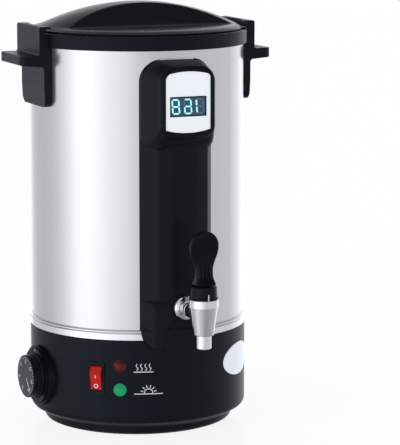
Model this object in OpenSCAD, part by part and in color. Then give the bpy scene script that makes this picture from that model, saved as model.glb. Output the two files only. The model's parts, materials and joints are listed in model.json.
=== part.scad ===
/* [Steel body] */
// Outside diameter of the steel shell
shell_d = 220; // [180:1:280]
// Sheet thickness of the steel shell and its flange
shell_t = 0.8; // [0.6:0.1:1.5]
// Height of the shell that shows between the base and the collar
shell_h = 290; // [230:1:360]
// Space between the shell and the pot, all round
jacket_gap = 10; // [8:0.5:16]
// Sheet thickness of the pot
pot_t = 0.8; // [0.6:0.1:1.5]
// Thickness of the insulating wrap
wrap_t = 3.8; // [2:0.1:4]

/* [Base] */
// Height of the base's top above the table
base_h = 101.2; // [84:0.2:125]
// How far the base stands out from the shell
base_margin = 1.5; // [1:0.1:4]
// Wall thickness of the base
base_wall = 3; // [2:0.5:4]
// Height of the foot ring's top
foot_ring_h = 9.2; // [7:0.2:12]
// Height of the taper above the foot ring
taper_h = 10; // [6:0.5:16]
// How far the taper draws the base in
taper_in = 12; // [6:0.5:16]
// Width of the rubber ring that the base stands on
foot_w = 5; // [3:0.5:6]
// Height of the chrome trim ring
trim_h = 10.8; // [8:0.2:16]

/* [Collar and lid] */
// Height of the collar
collar_h = 14.2; // [12:0.2:20]
// How far the collar stands out from the shell
collar_margin = 3.2; // [2.5:0.1:6]
// Height of the lid's grip above its flat
grip_h = 23.4; // [16:0.1:30]
// Width of the grip at its foot
grip_foot_w = 82.2; // [60:0.2:100]
// Width of the grip at its top
grip_top_w = 28; // [20:0.5:40]
// Radius of the grip's top along its length
grip_long_r = 241; // [180:1:400]
// Radius of the grip's top across it
grip_cross_r = 134; // [90:1:300]
// Wall thickness of the lid
lid_wall = 2.5; // [2:0.1:4]
// Width of a locking lug
lug_w = 14; // [8:1:18]
// Angle that the lid turns to lock
lock_angle = 26; // [24:1:40]

/* [Handles] */
// Width of a handle
handle_w = 69; // [50:1:76]
// Reach of a grip plate from the shell
handle_reach = 26.5; // [18:0.1:36]
// Thickness of a grip plate
handle_t = 11.2; // [8:0.1:16]
// Height of the arm's flat end above the collar
arm_gap = 4.5; // [4.3:0.1:6]
// Thickness of the arm
arm_t = 2.5; // [2.2:0.1:6]
// Length of the tail below the grip plate
tail_l = 41; // [20:0.5:60]

/* [Front column] */
// Width of the column at the shell
column_w = 77; // [64:1:90]
// Depth of the lower column in front of the shell
column_depth = 19.2; // [15:0.2:26]
// Depth of the display head in front of the shell
head_depth = 28.8; // [24:0.2:36]
// Height of the display head
head_h = 76; // [68:0.5:90]
// Wall thickness of the column
column_wall = 2.4; // [1.8:0.1:3]
// Width of the white label
label_w = 46.8; // [44:0.2:52]
// Height of the white label at its middle
label_h = 60.4; // [50:0.2:66]
// Width of the display window
window_w = 38.4; // [34:0.2:40]
// Height of the display window
window_h = 19.6; // [16:0.2:24]
// Height of a display digit
digit_h = 13.5; // [10:0.1:14]

/* [Tap] */
// Height of the tap's shank above the base's top
tap_rise = 35.4; // [32:0.2:60]
// Reach of the tap's centre line from the shell
tap_reach = 66; // [60:0.5:90]
// Radius of the threaded shank
shank_r = 8; // [7:0.1:9]
// Radius of the passage through the shank
passage_r = 5; // [3:0.1:5.5]
// Radius of the tap body at its top
body_r = 14.6; // [14:0.1:18]
// Outside radius of the outlet tube
spout_r = 7.6; // [7:0.1:9]
// Bore radius of the outlet tube
spout_bore_r = 5.5; // [4:0.1:6]
// Radius of the valve stem
stem_r = 3; // [2.5:0.1:3.2]
// Radius of the lever's pin
lever_pin_r = 1.25; // [1:0.05:1.5]

/* [Controls] */
// Angle of the knob from the front, towards the left
knob_angle = 86; // [80:1:90]
// Height of the knob's centre above the table
knob_z = 53; // [46:0.5:60]
// Radius of the knob
knob_r = 22; // [16:0.5:24]
// Length of the knob
knob_l = 11; // [8:0.5:16]
// Radius of the knob's escutcheon
bezel_r = 30.7; // [28:0.1:32]
// Angle of the rocker switch from the front, towards the left
switch_angle = 43.3; // [42:0.1:50]
// Height of the switch's centre above the table
switch_z = 62; // [48:0.5:70]
// Width of the rocker
rocker_w = 11.6; // [10:0.1:16]
// Height of the rocker
rocker_h = 24.9; // [20:0.1:30]
// Angle of the lamps from the front, towards the left
lamp_angle = 30.8; // [24:0.1:32]
// Height of the upper lamp above the table
lamp_high_z = 75.5; // [66:0.5:82]
// Height of the lower lamp above the table
lamp_low_z = 50.9; // [36:0.1:56]
// Radius of a lamp's lens
lamp_r = 6.5; // [5:0.1:8]
// Angle of the oval badge from the front, towards the right
badge_angle = 45.8; // [40:0.1:60]
// Height of the badge's centre above the table
badge_z = 68.9; // [50:0.1:76]
// Half the badge's width
badge_hw = 31.3; // [20:0.1:36]
// Half the badge's height
badge_hh = 16.7; // [12:0.1:20]
// Height of the power inlet's centre above the table
inlet_z = 44; // [38:0.5:60]

/* [Hidden] */

$fn = 96;
// Clearances: a loose fit, a fit between curved faces, a running fit and a seat between moving pieces
loose = 0.3;
snug = 0.1;
running = 0.05;
seat = 0.3;
// Overlap of a cutting shape past the face that it cuts
cut = 1;
// Length that reaches past the whole body
far = 400;

// Radii about the body's axis
shell_r = shell_d / 2;
shell_in_r = shell_r - shell_t;
base_r = shell_r + base_margin;
base_in_r = base_r - base_wall;
foot_ring_r = base_r - taper_in - 1;
bead_r = shell_r + 3.5;
collar_r = shell_r + collar_margin;
pot_r = shell_r - jacket_gap;
pot_in_r = pot_r - pot_t;
flange_r = pot_r + 4;
lid_r = collar_r - 4.5;
lug_r = lid_r + 3.6;
dome_r = lid_r - 4.1;
seal_r = flange_r + 0.1;
plate_r = seal_r - 2.1;
bolt_circle_r = shell_r - 6;
foot_in_r = foot_ring_r - 7.5 - foot_w;
screw_circle_r = foot_ring_r - 20;

// Heights above the table
collar_z = base_h + shell_h;
collar_top = collar_z + collar_h;
shell_top = collar_z + 4.6;
ledge_z = collar_top - 4.4;
flange_top = ledge_z + pot_t;
shelf_z = base_h - 3;
tap_z = base_h + tap_rise;
pot_floor = tap_z - shank_r - 4.6;
pot_bottom = pot_floor - pot_t;
rim_z = collar_top + 0.6;
lid_flat = rim_z + 4.1;
lid_top = lid_flat + grip_h;
arm_z = collar_top + arm_gap;
handle_top = arm_z + arm_t;
grip_plate_top = collar_top - 21.8;
grip_plate_z = grip_plate_top - handle_t;
tail_z = grip_plate_z - tail_l;
column_z = base_h - 11.2;
column_top = collar_z - 7.2;
head_z = column_top - head_h;
label_z = head_z + head_h / 2 - 3.2;
window_z = label_z - 4.2;
probe_x = shank_r + 7.6;

// Places of the tap
tap_y = -(shell_r + tap_reach);
column_y = -(shell_r + column_depth);
head_y = -(shell_r + head_depth);
body_top = tap_z + 17.3;
body_low = tap_z - 18.6;
spout_z = tap_z - 32.3;
chamber_r = body_r - 3.4;
chamber_z = tap_z - passage_r - 0.6;
bonnet_top = body_top + 13;
pin_z = bonnet_top + 4.6;
lever_z = bonnet_top + seat;
lever_h = 54;
lever_foot_r = 10.8;
washer_r = shank_r + 3;
washer_y = -chord(pot_in_r, washer_r) + snug;

// The thermostat's case: half width, front face behind the base's surface, and depth
thermostat_hw = 19;
thermostat_y = base_r - chord(base_in_r, thermostat_hw) + loose;
thermostat_d = 21.6;
thermostat_back = base_r - thermostat_y - thermostat_d;

// Depth of the rocker's pivot behind the base's surface
rocker_pivot_y = 2;
// Depth of the switch's case behind the base's surface
switch_d = 18;
// The knob: gap behind it, and half the distance between the thermostat's screws
knob_back = 4.9;
knob_screw_z = 14;

// The heating ring's radius and its terminals, at the angles of its two ends
element_r = pot_r * 0.68;
element_ends = [75, 105];
terminal_x = element_r * cos(element_ends[0]);
terminal_y = element_r * sin(element_ends[0]);
// Where the sensor's tube passes the heat shield
sensor_x = -62;
sensor_y = -24;
// Radius of the holes that leads pass through
lead_hole_r = 6;
// Angles of the bolts between the shell and the base, and of the screws of the bottom cover
bolt_angles = [30 : 60 : 330];
cover_angles = [45 : 90 : 315];

// Small fasteners: shank and head radii
screw_r = 2;
screw_head_r = 3.5;
screw_head_t = 2.4;
small_screw_r = 1.2;
board_screw_x = 21;
board_screw_z = [label_z - 23, label_z + 23];
panel_screw_x = 20;
panel_screw_z = [tap_z + 28.4, head_z - 16];
handle_screw_y = 15;
handle_screw_z = grip_plate_z + handle_t / 2;

// Points along an arc, from angle a to angle b
function arc(c, r, a, b, n) = [for (i = [0 : n]) let (t = a + (b - a) * i / n)
    [c[0] + r * cos(t), c[1] + r * sin(t)]];
// Distance from the axis plane to a cylinder of radius r, at the offset x
function chord(r, x) = sqrt(r * r - x * x);
// A point at the base's wall: x along the wall, y inwards from its surface, at the height z
function wall_point(angle, x, y, z) = [x * cos(angle) - (y - base_r) * sin(angle),
    x * sin(angle) + (y - base_r) * cos(angle), z];
// Radius of a ball that rises h over a circle of radius r
function cap_radius(r, h) = (r * r + h * h) / (2 * h);

// A disc or tube about the body's axis, between two heights
module tube(r_out, r_in, z0, z1) {
    difference() {
        translate([0, 0, z0]) cylinder(r = r_out, h = z1 - z0);
        translate([0, 0, z0 - cut]) cylinder(r = r_in, h = z1 - z0 + 2 * cut);
    }
}
module disc(r, z0, z1) {
    translate([0, 0, z0]) cylinder(r = r, h = z1 - z0);
}
// A rod along Y, between two places
module rod_y(x, z, r, y0, y1) {
    translate([x, y0, z]) rotate([-90, 0, 0]) cylinder(r = r, h = y1 - y0);
}
// A rod along X, between two places
module rod_x(y, z, r, x0, x1) {
    translate([x0, y, z]) rotate([0, 90, 0]) cylinder(r = r, h = x1 - x0);
}
// A rod between any two points
module rod(a, b, r) {
    d = b - a;
    translate(a) rotate([0, acos(d[2] / norm(d)), atan2(d[1], d[0])]) cylinder(r = r, h = norm(d), $fn = 24);
}
// A wire through a list of points, with rounded corners
module wire(points, r) {
    for (i = [0 : len(points) - 2]) rod(points[i], points[i + 1], r);
    for (i = [1 : len(points) - 2]) translate(points[i]) sphere(r = r * 1.08, $fn = 24);
}
// Children drawn at the base's wall: -Y points out, X runs along the wall, Z is up
module at_wall(angle, z) {
    rotate([0, 0, angle]) translate([0, -base_r, z]) children();
}
// An outline in X and Z, drawn through from y0 to y1
module through_y(y0, y1, points) {
    translate([0, y1, 0]) rotate([90, 0, 0]) linear_extrude(height = y1 - y0) polygon(points);
}
// An outline in Y and Z, drawn through from x0 to x1
module through_x(x0, x1, points) {
    translate([x0, 0, 0]) rotate([90, 0, 90]) linear_extrude(height = x1 - x0) polygon(points);
}
// A box between two corners
module block(a, b) {
    translate(a) cube(b - a);
}
// An outline of a rounded rectangle in two axes
function rounded(x, y0, y1, r_low, r_high) = concat(
    arc([x - r_low, y0 + r_low], r_low, -90, 0, 6), arc([x - r_high, y1 - r_high], r_high, 0, 90, 6),
    arc([r_high - x, y1 - r_high], r_high, 90, 180, 6), arc([r_low - x, y0 + r_low], r_low, 180, 270, 6));

// ---------------------------------------------------------------- base

module bottom_cover() {
    ring_in = foot_in_r - 1.5;
    color("#1b1c1f") difference() {
        rotate_extrude() polygon(concat([[0, 6], [ring_in, 6], [ring_in, 1]],
            arc([foot_ring_r - 6, 6], 5, -90, -20, 4),
            [[foot_ring_r - 0.4, foot_ring_h], [ring_in + 2, foot_ring_h], [ring_in, 8.5], [0, 8.5]]));
        tube(foot_in_r + foot_w + snug, foot_in_r - snug, -cut, 3.5);
        for (a = cover_angles) rotate([0, 0, a]) translate([screw_circle_r, 0, -cut])
            cylinder(r = screw_r + loose, h = 12);
        for (a = [0 : 30 : 330]) rotate([0, 0, a]) block([34, -1.5, 5], [52, 1.5, 10]);
    }
}
module foot_ring() {
    r = foot_in_r + foot_w;
    color("#141414") rotate_extrude() polygon([[foot_in_r + 0.5, 0], [r - 0.5, 0], [r, 0.5], [r, 3.5],
        [foot_in_r, 3.5], [foot_in_r, 0.5]]);
}
module bottom_screws() {
    color("#8d9095") for (a = cover_angles) rotate([0, 0, a]) translate([screw_circle_r, 0, 0]) {
        difference() {
            translate([0, 0, 6 - screw_head_t]) cylinder(r = screw_head_r, h = screw_head_t);
            for (b = [0, 90]) rotate([0, 0, b]) block([-2, -0.4, 0], [2, 0.4, 5]);
        }
        translate([0, 0, 5.5]) cylinder(r = screw_r, h = 16);
    }
}
// Cuts for what sits in the base's wall, each with its flat seat
module base_wall_cuts() {
    at_wall(-knob_angle, knob_z) rod_y(0, 0, 6, -10, 20);
    at_wall(-knob_angle, knob_z) for (s = [-1, 1]) rod_y(0, knob_screw_z * s, screw_r + loose, -10, 20);
    at_wall(-switch_angle, switch_z) {
        block([-rocker_w / 2 - 1.4, -5, -rocker_h / 2 - 1.4], [rocker_w / 2 + 1.4, 12, rocker_h / 2 + 1.4]);
        block([-rocker_w / 2 - 3.1, -5, -rocker_h / 2 - 3.6], [rocker_w / 2 + 3.1, 0.3, rocker_h / 2 + 3.6]);
    }
    for (z = [lamp_low_z, lamp_high_z]) at_wall(-lamp_angle, z) {
        rod_y(0, 0, lamp_r - 1, -5, 12);
        rod_y(0, 0, lamp_r + 0.3, -5, 0.3);
    }
    at_wall(180, inlet_z) {
        block([-14, -5, -10.5], [14, 12, 10.5]);
        block([-17.2, -5, -13.7], [17.2, 1.4, 13.7]);
    }
}
module base_housing() {
    lip_r = foot_ring_r - 9;
    taper_z = foot_ring_h + taper_h;
    color("#191a1d") difference() {
        union() {
            rotate_extrude() polygon(concat(
                [[lip_r, foot_ring_h + 0.1], [foot_ring_r + 0.6, foot_ring_h + 0.1]],
                arc([base_r - 7, taper_z + 1.5], 7, -52, 0, 5),
                [[base_r, base_h], [base_r - 11.5, base_h], [base_r - 11.5, shelf_z], [base_in_r, shelf_z]],
                arc([base_in_r - 5, taper_z + 2.5], 5, 0, -52, 4),
                [[foot_ring_r - 1.2, foot_ring_h + 3.1], [lip_r, foot_ring_h + 3.1]]));
            for (a = cover_angles) rotate([0, 0, a]) {
                translate([screw_circle_r, 0, 8.6]) cylinder(r = 4.4, h = 17);
                block([screw_circle_r + 3, -1.5, foot_ring_h + 1], [foot_ring_r - 1, 1.5, foot_ring_h + 10]);
            }
        }
        for (a = cover_angles) rotate([0, 0, a]) translate([screw_circle_r, 0, 8.6 - cut])
            cylinder(r = screw_r + running, h = 16);
        for (a = bolt_angles) rotate([0, 0, a]) translate([bolt_circle_r, 0, shelf_z - cut])
            cylinder(r = screw_r + loose, h = 6);
        base_wall_cuts();
    }
}
module heat_shield() {
    z = base_h + snug + shell_t;
    color("#c3c6ca") difference() {
        disc(shell_in_r - loose, z, z + 0.8);
        for (a = bolt_angles) rotate([0, 0, a]) translate([bolt_circle_r, 0, z - cut])
            cylinder(r = screw_r + loose, h = 4);
        for (s = [-1, 1]) translate([terminal_x * s, terminal_y, z - cut]) cylinder(r = lead_hole_r, h = 4);
        translate([sensor_x, sensor_y, z - cut]) cylinder(r = lead_hole_r, h = 4);
        translate([0, 0, z - cut]) cylinder(r = 9, h = 4);
    }
}
module base_bolts() {
    z = base_h + snug + shell_t + 0.8;
    color("#9a9da2") for (a = bolt_angles) rotate([0, 0, a]) translate([bolt_circle_r, 0, 0]) {
        translate([0, 0, shelf_z - 3]) cylinder(r = screw_head_r, h = 3);
        translate([0, 0, shelf_z - 1]) cylinder(r = screw_r, h = 11.5);
        translate([0, 0, z]) difference() {
            cylinder(r = screw_head_r, h = 3, $fn = 6);
            translate([0, 0, -cut]) cylinder(r = screw_r + running, h = 5);
        }
    }
}
module trim_ring() {
    r = shell_r + snug;
    band_r = base_r + 0.2;
    bead_z = base_h + trim_h - 1.8;
    color("#e6e7ea") rotate_extrude() polygon(concat(
        [[r, base_h], [band_r - 0.4, base_h], [band_r, base_h + 0.4], [band_r, base_h + trim_h - 4.2],
        [band_r - 0.7, base_h + trim_h - 3.8], [band_r - 0.7, base_h + trim_h - 3.4]],
        arc([bead_r - 1.6, bead_z], 1.6, -80, 80, 7), [[r, base_h + trim_h]]));
}

// ---------------------------------------------------------------- steel body

module outer_shell() {
    z0 = base_h + snug / 2;
    color("#c9cbd0") difference() {
        union() {
            tube(shell_r, shell_in_r, z0, shell_top);
            tube(shell_r - shell_t / 2, base_r - 11.5, z0, z0 + shell_t);
        }
        for (a = bolt_angles) rotate([0, 0, a]) translate([bolt_circle_r, 0, z0 - cut])
            cylinder(r = screw_r + loose, h = 4);
        rod_y(0, tap_z, shank_r + loose, -far / 2, -shell_r / 2);
        for (s = [-1, 1], z = panel_screw_z)
            rod_y(panel_screw_x * s, z, screw_r + 0.2, -far / 2, -shell_r / 2);
        rod_y(9, tap_z + 24, 2.5, -far / 2, -shell_r / 2);
        for (s = [-1, 1], y = [-1, 1]) rod_x(handle_screw_y * y, handle_screw_z, screw_r + 0.2,
            s > 0 ? shell_r / 2 : -far / 2, s > 0 ? far / 2 : -shell_r / 2);
    }
}
module insulation_wrap() {
    color("#e4dfd2") tube(pot_r + 1.2 + wrap_t, pot_r + 1.2, tap_z + 32, ledge_z - 17);
}
module inner_pot() {
    knuckle = 3;
    color("#d4d6da") difference() {
        rotate_extrude() polygon(concat([[0, pot_bottom]],
            arc([pot_r - knuckle, pot_bottom + knuckle], knuckle, -90, 0, 6),
            [[pot_r, flange_top - pot_t], [flange_r, flange_top - pot_t], [flange_r, flange_top],
            [pot_in_r, flange_top]],
            arc([pot_r - knuckle, pot_bottom + knuckle], knuckle - pot_t, 0, -90, 6), [[0, pot_floor]]));
        rod_y(0, tap_z, shank_r + loose, -far / 2, -pot_r / 2);
    }
}
module collar() {
    inner_r = pot_r + 0.5;
    color("#17181b") rotate_extrude() polygon([[inner_r, collar_z + 2.6],
        [shell_in_r - snug, collar_z + 2.6], [shell_in_r - snug, shell_top + snug],
        [shell_r + snug, shell_top + snug], [shell_r + snug, collar_z],
        [collar_r - 0.5, collar_z], [collar_r, collar_z + 0.5], [collar_r, collar_top - 1],
        [collar_r - 0.3, collar_top - 0.3], [collar_r - 1, collar_top], [flange_r + 0.6, collar_top],
        [flange_r + 0.6, ledge_z], [inner_r, ledge_z]]);
}

// ---------------------------------------------------------------- heating and control gear

module heating_element() {
    tube_r = 4;
    z = pot_bottom - tube_r - 0.15;
    shield_top = base_h + 2;
    color("#6f6a64") {
        rotate([0, 0, element_ends[1]]) rotate_extrude(angle = 330)
            translate([element_r, z]) circle(r = tube_r, $fn = 32);
        for (a = element_ends) rotate([0, 0, a]) {
            translate([element_r, 0, shield_top - 6]) cylinder(r = 2.5, h = z - shield_top + 6);
            translate([element_r, 0, shield_top + 3]) cylinder(r = 4.4, h = z - shield_top - 3);
        }
    }
}
module thermal_cutoff() {
    top = pot_bottom - 0.1;
    color("#2b2622") {
        disc(8, top - 12, top);
        block([-14, -4.5, top - 3], [14, 4.5, top - 2]);
        for (s = [-1, 1]) block([5 * s - 0.4, -3, top - 18], [5 * s + 0.4, 3, top - 11]);
    }
}
module thermostat_body() {
    color("#b9bcc0") at_wall(-knob_angle, knob_z) difference() {
        union() {
            block([-thermostat_hw, thermostat_y, -thermostat_hw],
                [thermostat_hw, thermostat_y + thermostat_d, thermostat_hw]);
            rod_y(0, 0, 5.6, -0.5, thermostat_y + 1);
        }
        rod_y(0, 0, 3 + running, -10, base_wall + 16);
        for (s = [-1, 1]) rod_y(0, knob_screw_z * s, screw_r + running, -10, base_wall + 9);
    }
}
module thermostat_shaft() {
    color("#a5a8ac") at_wall(-knob_angle, knob_z) rod_y(0, 0, 3, -11, base_wall + 15);
}
module thermostat_screws() {
    color("#8d9095") at_wall(-knob_angle, knob_z) for (s = [-1, 1]) {
        rod_y(0, knob_screw_z * s, screw_head_r, -1.6, 0);
        rod_y(0, knob_screw_z * s, screw_r, -0.5, base_wall + 8);
    }
}
module sensor_bulb() {
    z = pot_bottom - 3.3;
    color("#b5763e") {
        rod([-30, -28, z], [-30, 28, z], 3);
        wire([[-30, -25, z], [-30, -36, z], [-46, -38, z - 6], [sensor_x, sensor_y, base_h + 6],
            [sensor_x, sensor_y, base_h - 12], [-72, -8, base_h - 20],
            [-thermostat_back - 8, -6, knob_z + 26],
            [-thermostat_back - 10, -6, knob_z + thermostat_hw + 2]], 0.8);
        rod([-thermostat_back - 10, -6, knob_z + thermostat_hw + 3],
            [-thermostat_back - 10, -6, knob_z + thermostat_hw + 0.1], 2);
    }
}
module knob_bezel() {
    front = 5.4;
    color("#202124") at_wall(-knob_angle, knob_z) difference() {
        union() {
            rod_y(0, 0, bezel_r, -3.4, 12);
            rod_y(0, 0, bezel_r - 2.2, -front, 0);
        }
        rod_y(0, 0, knob_r + 1.6, -front - cut, 1.2 - front);
        rod_y(0, 0, 6.4, -10, 14);
        for (s = [-1, 1]) rod_y(0, knob_screw_z * s, screw_head_r + loose, -10, 14);
        translate([0, base_r, -far / 2]) cylinder(r = base_r + snug, h = far);
    }
}
module knob() {
    back = -knob_back;
    color("#161719") at_wall(-knob_angle, knob_z) difference() {
        union() {
            rod_y(0, 0, knob_r, back - knob_l, back + 0.2);
            rod_y(0, 0, knob_r + 1, back - 1.2, back);
        }
        rod_y(0, 0, 3 + running, -12, 0);
        rod_y(0, 0, knob_r - 0.8, back - knob_l - cut, back - knob_l + 0.6);
    }
}
module knob_face() {
    y = 0.6 - knob_back - knob_l;
    color("#b9bcc2") at_wall(-knob_angle, knob_z) rod_y(0, 0, knob_r - 0.9, y - 0.8, y);
}
module switch_frame() {
    hw = rocker_w / 2;
    hh = rocker_h / 2;
    color("#131315") at_wall(-switch_angle, switch_z) difference() {
        union() {
            block([-hw - 2.9, -1.1, -hh - 3.4], [hw + 2.9, 0.3, hh + 3.4]);
            block([-hw - 1.3, 0, -hh - 1.3], [hw + 1.3, switch_d, hh + 1.3]);
        }
        block([-hw - 0.3, -5, -hh - 0.3], [hw + 0.3, 11, hh + 0.3]);
        rod_x(rocker_pivot_y, 0, 1.2 + running, -hw - 0.9, hw + 0.9);
    }
}
module switch_rocker() {
    hw = rocker_w / 2;
    hh = rocker_h / 2 - 0.5;
    color("#d8232a") at_wall(-switch_angle, switch_z) {
        through_x(-hw, hw, [[5, -3], [0.5, -hh], [-1.4, -hh], [-4.6, hh * 0.42], [-2.4, hh - 1.2],
            [-1.4, hh], [0.5, hh], [5, 3]]);
        rod_x(rocker_pivot_y, 0, 1.2, -hw - 0.7, hw + 0.7);
    }
}
// A lamp's lens: a low dome on a flange, with a sleeve into its body
module lamp_lens(z) {
    dome_h = 3.4;
    ball_r = cap_radius(lamp_r - 0.6, dome_h);
    at_wall(-lamp_angle, z) {
        rod_y(0, 0, lamp_r, -0.9, 0.3);
        intersection() {
            translate([0, ball_r - 0.9 - dome_h, 0]) sphere(r = ball_r);
            rod_y(0, 0, lamp_r - 0.6, -0.9 - dome_h, 0);
        }
        rod_y(0, 0, lamp_r - 2.4, 0, 8);
    }
}
module red_lamp() {
    color("#a3161c") lamp_lens(lamp_high_z);
}
module green_lamp() {
    color("#15a05a") lamp_lens(lamp_low_z);
}
module lamp_bodies() {
    color("#e9e9e4") for (z = [lamp_low_z, lamp_high_z]) at_wall(-lamp_angle, z) difference() {
        union() {
            rod_y(0, 0, lamp_r - 1.1, 0.5, 22);
            rod_y(0, 0, lamp_r + 1, base_wall + 0.7, base_wall + 3.5);
        }
        rod_y(0, 0, lamp_r - 2.3, -1, 8.1);
    }
}
module badge_plate() {
    oval = [for (t = [0 : 6 : 354]) [badge_hw * 0.987 * cos(t), badge_hh * sin(t)]];
    color("#eef0f4") intersection() {
        tube(base_r + 0.75, base_r + 0.05, 0, base_h);
        rotate([0, 0, badge_angle]) translate([0, 0, badge_z]) through_y(-base_r - 10, -base_r / 2, oval);
    }
}
// Places of the power inlet's three pins, from its centre
pin_places = [[-7, -2.4], [7, -2.4], [0, 2.4]];
module power_inlet() {
    color("#1a1a1c") at_wall(180, inlet_z) difference() {
        union() {
            through_y(-1.6, 1.3, rounded(16.8, -13.3, 13.3, 3, 3));
            block([-13.7, 0, -10.2], [13.7, 21, 10.2]);
        }
        through_y(-3, 15.5, [[-12.2, -8.4], [12.2, -8.4], [12.2, 4.2], [8, 8.4], [-8, 8.4], [-12.2, 4.2]]);
        for (p = pin_places) block([p[0] - 1.1, 10, p[1] - 2.1], [p[0] + 1.1, 24, p[1] + 2.1]);
    }
}
module inlet_pins() {
    color("#d2c08a") at_wall(180, inlet_z) for (p = pin_places)
        block([p[0] - 1, 1.5, p[1] - 2], [p[0] + 1, 27, p[1] + 2]);
}
// Places along X and the height of the terminal block's three wire holes
terminal_places = [14, 26, 38];
terminal_z = 16;
module terminal_block() {
    color("#dedbd0") difference() {
        block([8, 44, 8.6], [44, 58, 22]);
        for (x = terminal_places) {
            rod_y(x, terminal_z, 2.6, 40, 62);
            translate([x, 51, terminal_z - 1]) cylinder(r = 2.4, h = 10);
        }
    }
}
module mains_wiring() {
    lead_r = 1.5;
    pin_end = base_r - 27.8;
    top = base_h - 6;
    live = terminal_places[1];
    neutral = terminal_places[0];
    z = terminal_z;
    switch_in = wall_point(-switch_angle, 0, switch_d + lead_r + snug, switch_z - 6);
    switch_out = wall_point(-switch_angle, 0, switch_d + lead_r + snug, switch_z + 7);
    element_in = [-terminal_x, terminal_y, top + 1.6];
    element_out = [terminal_x, terminal_y, top + 1.6];
    color("#8f8577") {
        wire([[-7, pin_end, inlet_z - 2], [-7, 74, inlet_z - 3], [-7, 68, inlet_z - 8], [neutral, 66, 22],
            [neutral, 59, z], [neutral, 55, z]], lead_r);
        wire([[7, pin_end, inlet_z - 2], [8, 74, inlet_z - 3], [live, 67, 24], [live, 59, z],
            [live, 55, z]], lead_r);
        wire([[live, 46, z], [live, 38, z + 2], [-20, -20, 26], [-46, -46, 50], switch_in], lead_r);
        wire([switch_out, [-46, -50, switch_z + 9], [-50, -16, knob_z + 6],
            [1 - thermostat_back, -6, knob_z + 6]], lead_r);
        wire([[1 - thermostat_back, -3, knob_z - 8], [-52, 20, knob_z], [-24, 52, top - 18],
            [-terminal_x, terminal_y, top - 4], element_in], lead_r);
        wire([[neutral, 47, z], [neutral, 38, z], [neutral, 35, 24], [16, 44, 60],
            [terminal_x, terminal_y, top - 4], element_out], lead_r);
    }
}

// ---------------------------------------------------------------- handles

// One handle, drawn on the right: a wall against the collar with an arm over it, a grip plate and a tail
module handle() {
    wall_x = shell_r + 7.4;
    tip_x = shell_r + handle_reach;
    tail_x = shell_r + 2.8;
    hw = handle_w / 2;
    side = concat([[90, tail_z], [tail_x - 1, tail_z], [tail_x, tail_z + tail_l / 2],
        [tail_x, grip_plate_z - 2], [tail_x + 2, grip_plate_z], [tip_x - 1, grip_plate_z + 1.6],
        [tip_x, grip_plate_z + 2.6], [tip_x, grip_plate_top - 0.6], [tip_x - 0.6, grip_plate_top],
        [wall_x + 2, grip_plate_top]], arc([wall_x + 2, grip_plate_top + 2], 2, 270, 180, 3),
        arc([wall_x - 2, handle_top - 2], 2, 0, 90, 4), [[90, handle_top]]);
    plan = concat(arc([tip_x - 7, hw - 7], 7, 90, 0, 6), arc([tip_x - 7, 7 - hw], 7, 0, -90, 6),
        [[80, -hw], [80, hw]]);
    difference() {
        intersection() {
            through_y(-hw, hw, side);
            linear_extrude(height = far * 2) polygon(plan);
            through_x(80, tip_x + 1, rounded(hw, tail_z, handle_top, 8, 1.5));
        }
        disc(shell_r + snug, 0, collar_z);
        disc(collar_r + snug, collar_z - 0.1, collar_top + cut);
        disc(collar_r + 2.2, collar_top, arm_z);
        disc(lid_r + 2.1, arm_z - cut, far * 2);
        for (y = [-1, 1])
            rod_x(handle_screw_y * y, handle_screw_z, screw_r + running, shell_r - 5, shell_r + 14);
    }
}
module right_handle() {
    color("#1a1b1e") handle();
}
module left_handle() {
    color("#1a1b1e") rotate([0, 0, 180]) handle();
}
module handle_screws() {
    head_x = chord(shell_in_r, handle_screw_y + screw_head_r) - 0.2;
    color("#8d9095") for (a = [0, 180], y = [-1, 1]) rotate([0, 0, a]) {
        rod_x(handle_screw_y * y, handle_screw_z, screw_head_r, head_x - screw_head_t, head_x);
        rod_x(handle_screw_y * y, handle_screw_z, screw_r, head_x - 1, shell_r + 13);
    }
}

// ---------------------------------------------------------------- front column

// The front view's outline of the whole column, drawn in by s
function column_front(s) = concat(
    arc([column_w / 2 - 21, column_z + 21], 21 - s, -90, 0, 6),
    arc([column_w / 2 - 15, column_top - 17], 15 - s, 0, 70, 5), [[0, column_top - s]],
    arc([15 - column_w / 2, column_top - 17], 15 - s, 110, 180, 5),
    arc([21 - column_w / 2, column_z + 21], 21 - s, 180, 270, 6));
// The lower column's outline from above, drawn in by s: half widths at the back, the side and the face
function column_plan(s, side_w, face_w) = [[-column_w / 2 + s, 0], [-column_w / 2 + s, 6 - shell_r],
    [-side_w + s, column_y + 5.6 + s / 2], [-face_w + s / 3, column_y + s], [face_w - s / 3, column_y + s],
    [side_w - s, column_y + 5.6 + s / 2], [column_w / 2 - s, 6 - shell_r], [column_w / 2 - s, 0]];
// The head's outline from above, drawn in by s and its front wall by f
function head_plan(s, f) = [[-column_w / 2 + s, 0], [-column_w / 2 + s, 6 - shell_r],
    [-30.8 + s, head_y + 4 + f], [-30 + s, head_y + 1.2 + f], [-28 + s, head_y + f],
    [28 - s, head_y + f], [30 - s, head_y + 1.2 + f],
    [30.8 - s, head_y + 4 + f], [column_w / 2 - s, 6 - shell_r], [column_w / 2 - s, 0]];
// The head's outline from the side, drawn in by s and its front wall by f
function head_side(s, f) = [[0, column_top + 2 - s], [head_y + 4 + f, column_top - 4.2 - s],
    [head_y + 1.2 + f, column_top - 5.4 - s], [head_y + f, column_top - 7.4 - s],
    [head_y + f, head_z + 2 + s], [head_y + 1.6 + f, head_z - 1 + s],
    [column_y + s, head_z - 10.6 + s], [0, head_z - 10.6 + s]];
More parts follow.
